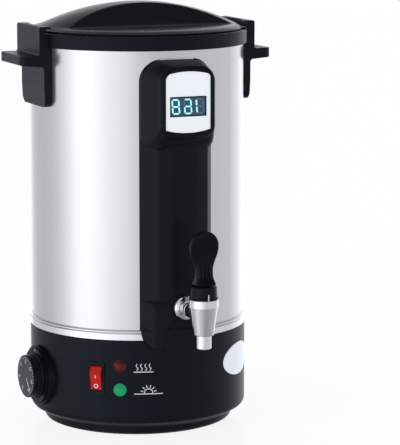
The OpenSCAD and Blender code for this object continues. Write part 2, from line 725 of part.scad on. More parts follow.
// The column as a solid, drawn in by s and its head's front wall by f
module column_solid(s, f) {
    intersection() {
        union() {
            translate([0, 0, column_z + s]) linear_extrude(height = head_z - column_z)
                polygon(column_plan(s, 27, 12));
            translate([0, 0, column_z + s]) linear_extrude(height = tap_z + 6.4 - column_z - s)
                polygon(column_plan(s, 31, shank_r + 6));
            intersection() {
                linear_extrude(height = far * 2) polygon(head_plan(s, f));
                through_x(-column_w, column_w, head_side(s, f));
            }
        }
        through_y(-far, 0, column_front(s));
    }
}
// The label's outline: straight sides between two shallow arcs
function label_outline(w, h) = let (r = cap_radius(w / 2, 3.2), a = asin(w / 2 / r)) concat(
    arc([0, label_z + h / 2 - r], r, 90 - a, 90 + a, 8),
    arc([0, label_z - h / 2 + r], r, 270 - a, 270 + a, 8));
module panel_housing() {
    label_back = head_y + 2.2;
    drip_w = 19.5;
    color("#1c1d20") difference() {
        union() {
            difference() {
                column_solid(0, 0);
                column_solid(column_wall, 4.4);
            }
            intersection() {
                through_x(-drip_w, drip_w, [[column_y - 1.4, column_z + 3], [column_y - 1.4, column_z + 25],
                    [column_y + 1, column_z + 27.5], [column_y + 1, column_z + 0.4]]);
                linear_extrude(height = far) polygon([
                    [-drip_w, column_y + 1], [1.5 - drip_w, column_y - 1.4],
                    [drip_w - 1.5, column_y - 1.4], [drip_w, column_y + 1]]);
            }
            intersection() {
                column_solid(0.5, 0.5);
                union() {
                    for (s = [-1, 1], z = panel_screw_z)
                        rod_y(panel_screw_x * s, z, 4.5, -far / 2, -shell_r / 2);
                    for (s = [-1, 1], z = board_screw_z) rod_y(board_screw_x * s, z, 3.2, head_y + 1,
                        head_y + 10.7);
                }
            }
        }
        for (s = [-1, 1], z = panel_screw_z) rod_y(panel_screw_x * s, z, screw_r + running,
            column_y + 7, -shell_r / 2);
        for (s = [-1, 1], z = board_screw_z) rod_y(board_screw_x * s, z, small_screw_r + running,
            head_y + 5, head_y + 12);
        through_y(head_y - cut, label_back, label_outline(label_w + 0.4, label_h + 0.4));
        block([-window_w / 2 - 0.2, head_y - cut, window_z - window_h / 2 - 0.2],
            [window_w / 2 + 0.2, head_y + 8, window_z + window_h / 2 + 0.2]);
        rod_y(0, tap_z, shank_r + loose, column_y - 5, column_y + 8);
        disc(shell_r + snug, base_h + trim_h + 0.05, far * 2);
        disc(bead_r + snug, base_h + trim_h - 4, base_h + trim_h + 0.1);
        disc(base_r + 0.3, base_h - 0.1, base_h + trim_h - 3);
        disc(base_r + snug, 0, base_h);
    }
}
module panel_screws() {
    head_y0 = -chord(shell_in_r, panel_screw_x + screw_head_r) + 0.2;
    color("#8d9095") for (s = [-1, 1], z = panel_screw_z) {
        rod_y(panel_screw_x * s, z, screw_head_r, head_y0, head_y0 + screw_head_t);
        rod_y(panel_screw_x * s, z, screw_r, column_y + 8, head_y0 + 1);
    }
}
module label_plate() {
    color("#f2f4f7") difference() {
        through_y(head_y + 1.2, head_y + 2.2, label_outline(label_w, label_h));
        block([-window_w / 2 - 0.1, head_y, window_z - window_h / 2 - 0.1],
            [window_w / 2 + 0.1, head_y + 4, window_z + window_h / 2 + 0.1]);
    }
}
module display_bezel() {
    frame = 0.9;
    color("#101114") difference() {
        block([-window_w / 2, head_y + 0.9, window_z - window_h / 2],
            [window_w / 2, head_y + 2.8, window_z + window_h / 2]);
        block([frame - window_w / 2, head_y, window_z - window_h / 2 + frame],
            [window_w / 2 - frame, head_y + 4, window_z + window_h / 2 - frame]);
    }
}
module display_window() {
    frame = 1;
    color([0.2, 0.45, 0.55, 0.4]) block(
        [frame - window_w / 2, head_y + 1.1, window_z - window_h / 2 + frame],
        [window_w / 2 - frame, head_y + 2.1, window_z + window_h / 2 - frame]);
}
module display_module() {
    color("#14536b") block([0.2 - window_w / 2, head_y + 2.9, window_z - window_h / 2 + 0.2],
        [window_w / 2 - 0.2, head_y + 10.8, window_z + window_h / 2 - 0.2]);
}
// One seven-part digit about its centre: the parts that are lit, from the top round to the middle
module digit(lit) {
    w = digit_h * 0.5;
    h = digit_h;
    bar = digit_h * 0.13;
    gap = bar * 0.6;
    places = [[0, h / 2, 0], [w / 2, h / 4, 1], [w / 2, -h / 4, 1], [0, -h / 2, 0], [-w / 2, -h / 4, 1],
        [-w / 2, h / 4, 1], [0, 0, 0]];
    for (i = [0 : 6]) if (lit[i] == 1) translate([places[i][0], 0, places[i][1]])
        if (places[i][2] == 1) block([-bar / 2, 0, gap - h / 4], [bar / 2, 0.3, h / 4 - gap]);
        else block([gap - w / 2, 0, -bar / 2], [w / 2 - gap, 0.3, bar / 2]);
}
module display_digits() {
    pitch = window_w / 3;
    shown = [[1, 1, 1, 1, 1, 1, 1], [1, 1, 1, 1, 1, 0, 1], [0, 0, 0, 0, 1, 1, 0]];
    color("#c9fbff") for (i = [0 : 2])
        translate([(i - 1) * pitch, head_y + 2.6, window_z]) digit(shown[i]);
}
module control_board() {
    color("#2c6b45") difference() {
        block([-25, head_y + 10.9, label_z - 27], [25, head_y + 12.5, label_z + 27]);
        for (s = [-1, 1], z = board_screw_z) rod_y(board_screw_x * s, z, small_screw_r + loose,
            head_y + 5, head_y + 15);
    }
}
module board_screws() {
    color("#8d9095") for (s = [-1, 1], z = board_screw_z) {
        rod_y(board_screw_x * s, z, 2.4, head_y + 12.6, head_y + 14.4);
        rod_y(board_screw_x * s, z, small_screw_r, head_y + 6, head_y + 13);
    }
}
module temperature_probe() {
    y = -chord(pot_r + 2.35, probe_x);
    back = head_y + 13.4;
    color("#a9acb1") {
        rod([probe_x, y, pot_floor + 6], [probe_x, y, tap_z + 12], 2.2);
        wire([[probe_x, y, tap_z + 10], [probe_x, y, tap_z + 13.6], [9, y - 4.4, tap_z + 19],
            [9, y - 4.4, tap_z + 22], [9, y - 12, tap_z + 25], [9, column_y + 8.6, tap_z + 34],
            [9, column_y + 8.6, head_z - 4], [9, back + 1, label_z - 30], [9, back, label_z - 22]], 0.8);
    }
}

// ---------------------------------------------------------------- tap

module tap_body() {
    step_z = body_top - 8.5;
    color("#eceef1") difference() {
        union() {
            translate([0, tap_y, 0]) rotate_extrude() polygon([[0, spout_z + 1.4], [0, spout_z],
                [spout_r - 0.8, spout_z], [spout_r, spout_z + 0.8], [spout_r, body_low - 0.6],
                [body_r - 4.8, body_low], [body_r - 4.3, body_low + 1], [body_r - 0.9, step_z],
                [body_r - 0.1, step_z + 0.5], [body_r, body_top - 0.6], [body_r - 0.6, body_top],
                [chamber_r + 1.4, body_top], [chamber_r + 1.4, body_top + 6], [0, body_top + 6]]);
            rod_y(0, tap_z, shank_r - 0.5, tap_y, -shell_r - 30);
            rod_y(0, tap_z, shank_r, -shell_r - 34, -pot_in_r + 12);
        }
        translate([0, tap_y, chamber_z]) cylinder(r = chamber_r, h = far);
        translate([0, tap_y, spout_z - cut]) cylinder(r = spout_bore_r, h = far / 4);
        rod_y(0, tap_z, passage_r, tap_y, -pot_in_r + 14);
    }
}
module tap_ring() {
    face = column_y - snug;
    color("#eceef1") translate([0, face, tap_z]) rotate([90, 0, 0]) rotate_extrude() polygon([
        [shank_r + snug, 0], [shank_r + 4.7, 0], [shank_r + 4.8, 1.2], [shank_r + 4.3, 3],
        [shank_r + 3.2, 4.6], [shank_r + 1.8, 5.2], [shank_r + 0.8, 4.9], [shank_r + snug, 4.2]]);
}
module tap_spacers() {
    color("#4a4c50") difference() {
        rod_y(0, tap_z, shank_r + 4, column_y + column_wall + snug, -pot_r / 2);
        rod_y(0, tap_z, shank_r + snug, -far, 0);
        tube(shell_r + snug, shell_in_r - snug, 0, far * 2);
        disc(pot_r + snug, 0, far * 2);
    }
}
module tap_washer() {
    color("#d9d4c4") difference() {
        rod_y(0, tap_z, washer_r, washer_y, washer_y + 2);
        rod_y(0, tap_z, shank_r + snug, -far, 0);
    }
}
module tap_nut() {
    color("#c8cace") difference() {
        translate([0, washer_y + 2.1, tap_z]) rotate([-90, 0, 0])
            cylinder(r = shank_r + 4.4, h = 6, $fn = 6);
        rod_y(0, tap_z, shank_r + running, -far, 0);
    }
}
module tap_bonnet() {
    wall_r = chamber_r + 1.4 + snug;
    color("#151618") translate([0, tap_y, 0]) difference() {
        rotate_extrude() polygon([[stem_r + 0.06, bonnet_top], [stem_r + 0.06, bonnet_top - 3],
            [wall_r, bonnet_top - 3.4], [wall_r, body_top + 0.1], [body_r - 0.3, body_top + 0.1],
            [body_r - 0.4, body_top + 1.4], [body_r - 1.2, body_top + 2.2], [body_r - 1.6, bonnet_top - 1],
            [body_r - 2.6, bonnet_top]]);
        through_y(-body_r - 1, -wall_r + 2, [[-1.3, body_top], [1.3, body_top], [0.35, body_top + 8.6],
            [-0.35, body_top + 8.6]]);
    }
}
module tap_stem() {
    color("#c9cbcf") translate([0, tap_y, 0]) difference() {
        disc(stem_r, chamber_z + 3.4, pin_z + 3);
        rod_x(0, pin_z, lever_pin_r + running, -10, 10);
    }
}
module seat_cup() {
    z = chamber_z + seat;
    color("#e8e2d4") translate([0, tap_y, 0]) rotate_extrude() polygon([[0, z], [spout_bore_r + 1.6, z],
        [spout_bore_r + 1.6, z + 3], [stem_r + 2, z + 6], [stem_r + 2, z + 13], [chamber_r - 0.4, z + 17],
        [chamber_r - 0.4, z + 19], [chamber_r - 1.4, z + 19], [stem_r + 0.05, z + 15.6],
        [stem_r + 0.05, z + 3], [0, z + 3]]);
}
// The lever's half width at each height above its foot
lever_front = [[10.8, 0], [10.8, 2.2], [9.7, 4.6], [8.7, 9], [8.9, 15.5], [10.7, 23], [13.4, 30], [15, 36],
    [15.4, 40], [14.6, 44.5], [12.2, 48.6], [8.2, 52], [4, 53.6], [0, 54]];
// The lever's front and back face at each height above its foot, from its centre line
lever_face = [[-10.8, 0], [-10.8, 2.2], [-8.6, 6], [-7, 11], [-5.4, 18], [-5, 26], [-5.6, 34],
    [-7, 42], [-8.6, 50], [-8.6, 54]];
lever_back = [[-1.4, 54], [-0.4, 50], [1.4, 42], [2.8, 34], [3.6, 26], [4.6, 18], [7, 11],
    [8.6, 6], [10.8, 2.2], [10.8, 0]];
module tap_lever() {
    outline = concat([for (p = lever_front) [p[0], lever_z + p[1]]],
        [for (i = [len(lever_front) - 2 : -1 : 0]) [-lever_front[i][0], lever_z + lever_front[i][1]]]);
    side = [for (p = concat(lever_face, lever_back)) [p[0], lever_z + p[1]]];
    color("#17181b") translate([0, tap_y, 0]) difference() {
        intersection() {
            through_y(-20, 20, outline);
            through_x(-20, 20, side);
            union() {
                disc(lever_foot_r, lever_z, lever_z + 7);
                disc(30, lever_z + 6, lever_z + lever_h + 1);
            }
        }
        block([-stem_r - 0.3, -6.5, lever_z - cut], [stem_r + 0.3, 6.5, pin_z + 6]);
        rod_x(0, pin_z, lever_pin_r + 0.02, -20, 20);
    }
}
module lever_pin() {
    color("#b3b6bb") translate([0, tap_y, 0]) rod_x(0, pin_z, lever_pin_r, -9, 9);
}

// ---------------------------------------------------------------- lid

// The grip's cross section: sides that lean in towards the top, drawn in by s
function grip_section(s) =
    let (lean = (grip_foot_w - grip_top_w) / 2 / grip_h, foot = grip_foot_w / 2 - s * norm([1, lean]),
        low = foot + lean * 6, high = foot - lean * (grip_h + 1))
    [[-low, lid_flat - 6], [low, lid_flat - 6], [high, lid_top + 1], [-high, lid_top + 1]];
// The grip, drawn in by s and cut round at r: its top curves along and across
module grip_solid(s, r) {
    half = grip_foot_w * 0.6;
    middle = grip_long_r - grip_cross_r;
    intersection() {
        translate([0, 0, lid_top - grip_long_r]) rotate([90, 0, 0])
            rotate_extrude($fn = 180) intersection() {
                translate([middle, 0]) circle(r = grip_cross_r - s, $fn = 90);
                translate([middle, -half]) square([far, half * 2]);
            }
        through_x(-far, far, grip_section(s));
        disc(r, lid_flat - lid_wall - s, lid_top + 1);
    }
}
module lid_cover() {
    boss_z = flange_top + 3.1;
    inner = lid_flat - lid_wall;
    color("#17181b") difference() {
        union() {
            rotate_extrude() polygon([[0, lid_flat], [lid_r - 9, lid_flat], [lid_r - 6, lid_flat - 0.7],
                [lid_r - 1.4, lid_flat - 2.4], [lid_r - 0.3, lid_flat - 3.1], [lid_r, rim_z + 0.4],
                [lid_r, rim_z], [lid_r - 3, rim_z], [lid_r - 4.4, inner - 0.6], [lid_r - 12, inner],
                [0, inner]]);
            disc(8, boss_z, lid_flat);
            grip_solid(0, dome_r);
            for (a = [0, 180]) rotate([0, 0, a - lock_angle]) intersection() {
                block([lid_r - 4, -lug_w / 2, rim_z], [lug_r + 2, lug_w / 2, rim_z + 1.5]);
                disc(lug_r, rim_z, rim_z + 3);
            }
        }
        difference() {
            grip_solid(lid_wall, lid_r - 13);
            disc(8, 0, far * 2);
        }
        disc(stem_r + 0.02, boss_z - cut, boss_z + 10.5);
    }
}
module lid_plate() {
    z = flange_top + 1.5;
    color("#d4d6da") difference() {
        union() {
            disc(plate_r, z, z + 0.8);
            disc(14, z, z + 1.3);
        }
        disc(stem_r + 0.1, z - cut, z + 4);
    }
}
module lid_seal() {
    z = flange_top + seat;
    color("#d8d8d2") rotate_extrude() polygon([[pot_in_r - 1.8, z], [pot_in_r - 1.4, z - 4],
        [pot_in_r - 0.5, z - 4], [pot_in_r - 0.4, z], [seal_r, z], [seal_r, z + 2.9],
        [seal_r - 3.6, z + 2.9], [seal_r - 3.6, z + 2.1],
        [seal_r - 2, z + 2.1], [seal_r - 2, z + 1.1], [pot_in_r - 1.8, z + 1.1]]);
}
module lid_pivot_screw() {
    z = flange_top + 1.2;
    color("#b3b6bb") {
        disc(5.5, z - 3, z);
        disc(stem_r, z - 1, z + 12);
    }
}

bottom_cover();
foot_ring();
bottom_screws();
base_housing();
heat_shield();
base_bolts();
trim_ring();
outer_shell();
insulation_wrap();
inner_pot();
collar();
heating_element();
thermal_cutoff();
thermostat_body();
thermostat_shaft();
thermostat_screws();
sensor_bulb();
knob_bezel();
knob();
knob_face();
switch_frame();
switch_rocker();
red_lamp();
green_lamp();
lamp_bodies();
badge_plate();
power_inlet();
inlet_pins();
terminal_block();
mains_wiring();
left_handle();
right_handle();
handle_screws();
panel_housing();
panel_screws();
label_plate();
display_bezel();
display_window();
display_module();
display_digits();
control_board();
board_screws();
temperature_probe();
tap_body();
tap_ring();
tap_spacers();
tap_washer();
tap_nut();
tap_bonnet();
tap_stem();
seat_cup();
tap_lever();
lever_pin();
lid_cover();
lid_plate();
lid_seal();
lid_pivot_screw();
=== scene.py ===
"""Looks of the wax melter: finishes, the modelled lid, lever, knob and lamps, the studio and the camera."""

import json
import math

import bmesh
import bpy
import numpy as np
from mathutils import Matrix, Vector


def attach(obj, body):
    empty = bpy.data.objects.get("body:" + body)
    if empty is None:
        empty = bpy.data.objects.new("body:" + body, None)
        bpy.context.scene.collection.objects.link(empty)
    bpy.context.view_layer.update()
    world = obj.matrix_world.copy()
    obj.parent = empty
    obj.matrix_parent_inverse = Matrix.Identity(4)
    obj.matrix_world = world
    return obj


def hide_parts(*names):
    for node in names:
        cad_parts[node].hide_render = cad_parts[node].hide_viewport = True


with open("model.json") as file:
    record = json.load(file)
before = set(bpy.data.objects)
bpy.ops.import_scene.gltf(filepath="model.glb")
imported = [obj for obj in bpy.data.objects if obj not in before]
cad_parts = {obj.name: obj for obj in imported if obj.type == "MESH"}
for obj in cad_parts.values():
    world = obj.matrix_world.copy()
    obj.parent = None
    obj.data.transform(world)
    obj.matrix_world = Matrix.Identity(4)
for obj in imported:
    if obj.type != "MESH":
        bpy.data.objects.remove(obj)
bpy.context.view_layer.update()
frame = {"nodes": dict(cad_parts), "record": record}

MM = 0.001
nodes = frame["nodes"]

# ---------------------------------------------------------------- sizes in millimetres, angles in degrees

SHELL_R = 110.0
BASE_R = 111.5
BEAD_R = 113.5
BEAD_TOP = 112.0
COLLAR_LOW = 391.2
LID_R = 108.7
LID_RIM = 406.0
LID_FLAT = 410.1
LID_TOP = 433.49
LID_WALL = 2.5
LID_DISC_R = LID_R - 9
RIM_DROP = 2.4
GRIP_LONG_R = 241.0
GRIP_CROSS_R = 134.0
GRIP_FOOT = 41.1
GRIP_TOP = 14.0
LUG_R = 112.3
LUG_WIDTH = 14.0
LUG_THICK = 1.5
LOCK_ANGLE = 26.0
TAP_Y = -176.0
LEVER_FOOT = 167.2
THUMB_HOLLOW = 0.9
THUMB_Z = 39.5
RIB_LOW = 7.5
RIB_HIGH = 22.5
KNOB_ANGLE = -86.0
KNOB_Z = 53.0
KNOB_R = 22.0
KNOB_BACK = 4.9
KNOB_LONG = 11.0
KNOB_FACE = 127.6
FLUTES = 60
FLUTE_DEPTH = 0.32
SCALE_START = -60
SCALE_SWEEP = 300
BEZEL_R = 30.7
SWITCH_ANGLE = -43.3
SWITCH_Z = 62.0
ROCKER_TALL = 24.9
LAMP_ANGLE = -30.8
LAMP_HEIGHTS = {"red": 75.5, "green": 50.9}
LAMP_R = 6.5
LAMP_DOME = 3.4
BUMP_PITCH = 1.5
BUMP_TALL = 0.13
COLUMN_LOW = 90.0
COLUMN_HALF = 38.5
COLUMN_FRONT = -129.2
COLUMN_STEP = 143.0
COLUMN_ROUND = 21.0
SIDE_DEPTH = -104.0
HEAD_FRONT = -138.8
HEAD_LOW = 308.0
HEAD_HIGH = 376.6
HEAD_HALF = 29.4
HEAD_LOW_R = 9.0
HEAD_HIGH_R = 13.5
HEAD_EDGE = 4.2
LABEL_Z = 342.8
LABEL_HALF = (23.4, 30.2)
LABEL_ARCH = 3.2
WINDOW_Z = 338.6
WINDOW_HALF = (19.2, 9.8)
DIGIT_TALL = 13.8
SEAM_ANGLE = 36.0
SHELL_GAP = 0.15
OUTLINE_STEPS = 11
ARCHED_ENDS = (0, 2)
BEVEL_STEPS = 3
BEVEL_ANGLE = 28
JOIN_ANGLE = 1.5
PRINT_LOW = 0.03
PRINT_HIGH = 0.08
STROKE_STEP = 2.0
SUN_LOW = -2.4


# ---------------------------------------------------------------- mesh helpers

def wall_frame(angle, z):
    """Places a piece on the base's wall: X along the wall, Y straight out, Z up."""
    turn = Matrix.Rotation(math.radians(angle), 4, "Z")
    return turn @ Matrix.Translation((0, -BASE_R * MM, z * MM)) @ Matrix.Rotation(math.pi, 4, "Z")


def add_piece(name, points, faces, body, finish, place=None, flat=False):
    """Makes a piece from points in millimetres, with smooth faces unless it is flat."""
    mesh = bpy.data.meshes.new(name)
    mesh.from_pydata([Vector(p) * MM for p in points], [], faces)
    if place is not None:
        mesh.transform(place)
    mesh.update()
    work = bmesh.new()
    work.from_mesh(mesh)
    bmesh.ops.remove_doubles(work, verts=work.verts, dist=1e-6)
    bmesh.ops.recalc_face_normals(work, faces=work.faces)
    work.to_mesh(mesh)
    work.free()
    piece = bpy.data.objects.new(name, mesh)
    bpy.context.scene.collection.objects.link(piece)
    for face in mesh.polygons:
        face.use_smooth = not flat
    mesh.materials.append(finish)
    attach(piece, body)
    return piece


def turned(profile, sides=96):
    """Points and faces of a profile of (radius, height) turned about Z."""
    points, faces, rings = [], [], []
    for r, h in profile:
        if r < 1e-6:
            rings.append([len(points)])
            points.append((0, 0, h))
            continue
        rings.append(list(range(len(points), len(points) + sides)))
        points += [(r * math.cos(2 * math.pi * i / sides), r * math.sin(2 * math.pi * i / sides), h)
                   for i in range(sides)]
    for low, high in zip(rings, rings[1:]):
        for i in range(sides):
            j = (i + 1) % sides
            if len(low) == 1 and len(high) > 1:
                faces.append((low[0], high[j], high[i]))
            elif len(high) == 1 and len(low) > 1:
                faces.append((low[i], low[j], high[0]))
            elif len(low) > 1:
                faces.append((low[i], low[j], high[j], high[i]))
    return points, faces


def soft_corners(profile, radius, steps=4):
    """The same profile with its inner corners rounded to about the radius."""
    out = [profile[0]]
    for a, b, c in zip(profile, profile[1:], profile[2:]):
        a, b, c = Vector(a), Vector(b), Vector(c)
        back, on = a - b, c - b
        cut = min(radius, back.length * 0.45, on.length * 0.45)
        start, end = b + back.normalized() * cut, b + on.normalized() * cut
        for i in range(steps + 1):
            t = i / steps
            out.append(tuple(start * (1 - t) ** 2 + b * 2 * t * (1 - t) + end * t * t))
    out.append(profile[-1])
    return out


def grid_faces(rows, columns, closed=False):
    """Quads of a grid of points, row by row; closed joins the last column to the first."""
    last = columns if closed else columns - 1
    return [(r * columns + c, r * columns + (c + 1) % columns,
             (r + 1) * columns + (c + 1) % columns, (r + 1) * columns + c)
            for r in range(rows - 1) for c in range(last)]


def prism_faces(n, k):
    """Faces of a prism of k sides whose points start at n: its two ends, then its sides."""
    ends = [tuple(range(n, n + k)), tuple(range(n + k, n + 2 * k))]
    return ends + [(n + i, n + (i + 1) % k, n + k + (i + 1) % k, n + k + i) for i in range(k)]


def arc(r, z, angles):
    """Points of a circle round (0, z), at angles in degrees."""
    return [(r * math.cos(math.radians(a)), z + r * math.sin(math.radians(a))) for a in angles]


def add_slab(name, outline, low, high, body, slot, place=None):
    """A flat piece of one outline between two heights, in a record slot's finish."""
    points = [(x, y, low) for x, y in outline] + [(x, y, high) for x, y in outline]
    slab = add_piece(name, points, prism_faces(0, len(outline)), body, finishes[slot], place, flat=True)
    return slab


def soften(piece, width):
    """Rounds a piece's sharp edges, after its flat faces are joined up."""
    flat = piece.modifiers.new("joined_faces", "DECIMATE")
    flat.decimate_type = "DISSOLVE"
    flat.angle_limit = math.radians(JOIN_ANGLE)
    edge = piece.modifiers.new("rounded_edges", "BEVEL")
    edge.width = width * MM
    edge.segments = BEVEL_STEPS
    edge.limit_method = "ANGLE"
    edge.angle_limit = math.radians(BEVEL_ANGLE)
    edge.harden_normals = True
    edge.use_clamp_overlap = True


# ---------------------------------------------------------------- shader groups

def group(name, inputs, outputs):
    """An empty shader group with named sockets: (name, kind, default) in, (name, kind) out."""
    tree = bpy.data.node_groups.new(name, "ShaderNodeTree")
    for label, kind, value in inputs:
        socket = tree.interface.new_socket(label, in_out="INPUT", socket_type=kind)
        socket.default_value = value
    for label, kind in outputs:
        tree.interface.new_socket(label, in_out="OUTPUT", socket_type=kind)
    return tree, tree.nodes.new("NodeGroupInput"), tree.nodes.new("NodeGroupOutput")


def math_node(tree, operation, a, b=None, c=None, clamp=False):
    """A math node fed by sockets or numbers; gives its output."""
    node = tree.nodes.new("ShaderNodeMath")
    node.operation = operation
    node.use_clamp = clamp
    for i, value in enumerate((a, b, c)):
        if value is None:
            continue
        if isinstance(value, (int, float)):
            node.inputs[i].default_value = value
        else:
            tree.links.new(value, node.inputs[i])
    return node.outputs[0]


def noise_node(tree, vector, scale, detail=3.0, rough=0.5):
    """A noise texture's value along a vector, at a scale that may be a socket."""
    node = tree.nodes.new("ShaderNodeTexNoise")
    node.inputs["Detail"].default_value = detail
    node.inputs["Roughness"].default_value = rough
    tree.links.new(vector, node.inputs["Vector"])
    if isinstance(scale, (int, float)):
        node.inputs["Scale"].default_value = scale
    else:
        tree.links.new(scale, node.inputs["Scale"])
    return node.outputs["Fac"]


def build_moulded_grain():
    """Fine moulded texture with faint handling marks: roughness and height."""
    tree, given, result = group("moulded_grain", (
        ("Grain", "NodeSocketFloat", 900.0), ("Depth", "NodeSocketFloat", 0.3),
        ("Roughness", "NodeSocketFloat", 0.4), ("Spread", "NodeSocketFloat", 0.1)),
        (("Roughness", "NodeSocketFloat"), ("Height", "NodeSocketFloat")))
    place = tree.nodes.new("ShaderNodeTexCoord").outputs["Object"]
    fine = noise_node(tree, place, given.outputs["Grain"], 2.0)
    broad = noise_node(tree, place, 26.0, 4.0, 0.6)
    swing = math_node(tree, "SUBTRACT", broad, 0.5)
    rough = math_node(tree, "MULTIPLY_ADD", swing, given.outputs["Spread"], given.outputs["Roughness"])
    height = math_node(tree, "MULTIPLY", fine, given.outputs["Depth"])
    tree.links.new(rough, result.inputs["Roughness"])
    tree.links.new(height, result.inputs["Height"])
    return tree


def build_brushed_lines():
    """Fine sanding lines round the Z axis: roughness and height."""
    tree, given, result = group("brushed_lines", (
        ("Lines", "NodeSocketFloat", 3000.0), ("Depth", "NodeSocketFloat", 0.3),
        ("Roughness", "NodeSocketFloat", 0.25), ("Spread", "NodeSocketFloat", 0.1)),
        (("Roughness", "NodeSocketFloat"), ("Height", "NodeSocketFloat")))
    place = tree.nodes.new("ShaderNodeTexCoord").outputs["Object"]
    squash = tree.nodes.new("ShaderNodeMapping")
    squash.inputs["Scale"].default_value = (0.012, 0.012, 1.0)
    tree.links.new(place, squash.inputs["Vector"])
    lines = noise_node(tree, squash.outputs["Vector"], given.outputs["Lines"], 3.0, 0.65)
    broad = noise_node(tree, place, 14.0, 3.0)
    swing = math_node(tree, "SUBTRACT", lines, 0.5)
    rough = math_node(tree, "MULTIPLY_ADD", swing, given.outputs["Spread"], given.outputs["Roughness"])
    rough = math_node(tree, "MULTIPLY_ADD", math_node(tree, "SUBTRACT", broad, 0.5), 0.05, rough)
    tree.links.new(rough, result.inputs["Roughness"])
    tree.links.new(math_node(tree, "MULTIPLY", lines, given.outputs["Depth"]), result.inputs["Height"])
    return tree


def build_worn_colour():
    """A colour that varies softly and lightens on exposed edges."""
    tree, given, result = group("worn_colour", (
        ("Colour", "NodeSocketColor", (0.5, 0.5, 0.5, 1)), ("Edge", "NodeSocketColor", (0.7, 0.7, 0.7, 1)),
        ("Wear", "NodeSocketFloat", 0.3), ("Blotch", "NodeSocketFloat", 0.08),
        ("Size", "NodeSocketFloat", 40.0)),
        (("Colour", "NodeSocketColor"),))
    place = tree.nodes.new("ShaderNodeTexCoord").outputs["Object"]
    bend = tree.nodes.new("ShaderNodeNewGeometry").outputs["Pointiness"]
    edge = math_node(tree, "MULTIPLY", math_node(tree, "SUBTRACT", bend, 0.52), 12.0, clamp=True)
    rubbed = math_node(tree, "MULTIPLY", edge, noise_node(tree, place, 130.0, 4.0, 0.7))
    edge = math_node(tree, "MULTIPLY", rubbed, given.outputs["Wear"], clamp=True)
    swing = math_node(tree, "SUBTRACT", noise_node(tree, place, given.outputs["Size"], 3.0), 0.5)
    shade = math_node(tree, "MULTIPLY_ADD", swing, given.outputs["Blotch"], 1.0)
    tint = tree.nodes.new("ShaderNodeVectorMath")
    tint.operation = "SCALE"
    tree.links.new(given.outputs["Colour"], tint.inputs[0])
    tree.links.new(shade, tint.inputs["Scale"])
    mix = tree.nodes.new("ShaderNodeMix")
    mix.data_type = "RGBA"
    tree.links.new(edge, mix.inputs["Factor"])
    tree.links.new(tint.outputs[0], mix.inputs["A"])
    tree.links.new(given.outputs["Edge"], mix.inputs["B"])
    tree.links.new(mix.outputs["Result"], result.inputs["Colour"])
    return tree


moulded_grain = build_moulded_grain()
brushed_lines = build_brushed_lines()
worn_colour = build_worn_colour()


# ---------------------------------------------------------------- finishes

def place_group(tree, made, **values):
    """Puts a shader group into a material with its own values."""
    node = tree.nodes.new("ShaderNodeGroup")
    node.node_tree = made
    for label, value in values.items():
        socket = node.inputs[label]
        socket.default_value = (*value, 1) if isinstance(value, tuple) else value
    return node


GRAIN_FINE = dict(Grain=1500.0, Depth=0.35, Spread=0.12)
GRAIN_COARSE = dict(Grain=700.0, Depth=0.8, Spread=0.14)
LINES_FINE = dict(Lines=2600.0, Depth=0.35, Spread=0.1)
BUMP_DEPTH = 0.0004
EDGE_GAIN, EDGE_LIFT = 1.6, 0.008
# painted light: a faint pale glow put on the badge foil and the front label film, which are no lamps
PAINTED_PALE_GLOW = (0.86, 0.93, 1.0, 1)


def finish(name, colour, roughness, texture=moulded_grain, edge=None, wear=0.3, blotch=0.08, size=40.0,
           bump=0.1, texture_values=GRAIN_FINE, **sockets):
    """A finish: worn colour, surface texture with its bump, and plain values on the shader's sockets."""
    made = bpy.data.materials.new(name)
    made.use_nodes = True
    tree = made.node_tree
    shader = tree.nodes["Principled BSDF"]
    for label, value in sockets.items():
        shader.inputs[label.replace("_", " ")].default_value = value
    edge = edge or tuple(min(1, c * EDGE_GAIN + EDGE_LIFT) for c in colour)
    paint = place_group(tree, worn_colour, Colour=colour, Edge=edge, Wear=wear, Blotch=blotch, Size=size)
    tree.links.new(paint.outputs["Colour"], shader.inputs["Base Color"])
    surface = place_group(tree, texture, Roughness=roughness, **texture_values)
    tree.links.new(surface.outputs["Roughness"], shader.inputs["Roughness"])
    relief = tree.nodes.new("ShaderNodeBump")
    relief.inputs["Strength"].default_value = bump
    relief.inputs["Distance"].default_value = BUMP_DEPTH
    tree.links.new(surface.outputs["Height"], relief.inputs["Height"])
    tree.links.new(relief.outputs["Normal"], shader.inputs["Normal"])
    return made


def black(name, colour, roughness, bump):
    """A black plastic with a weak, cool sheen."""
    return finish(name, colour, roughness, bump=bump, Specular_IOR_Level=0.17,
                  Specular_Tint=(0.72, 0.86, 1.0, 1))


def brushed(name, colour, roughness, bump, texture_values=LINES_FINE, **more):
    """A metal with fine sanding lines."""
    return finish(name, colour, roughness, brushed_lines, bump=bump, texture_values=texture_values,
                  Metallic=1.0, **more)


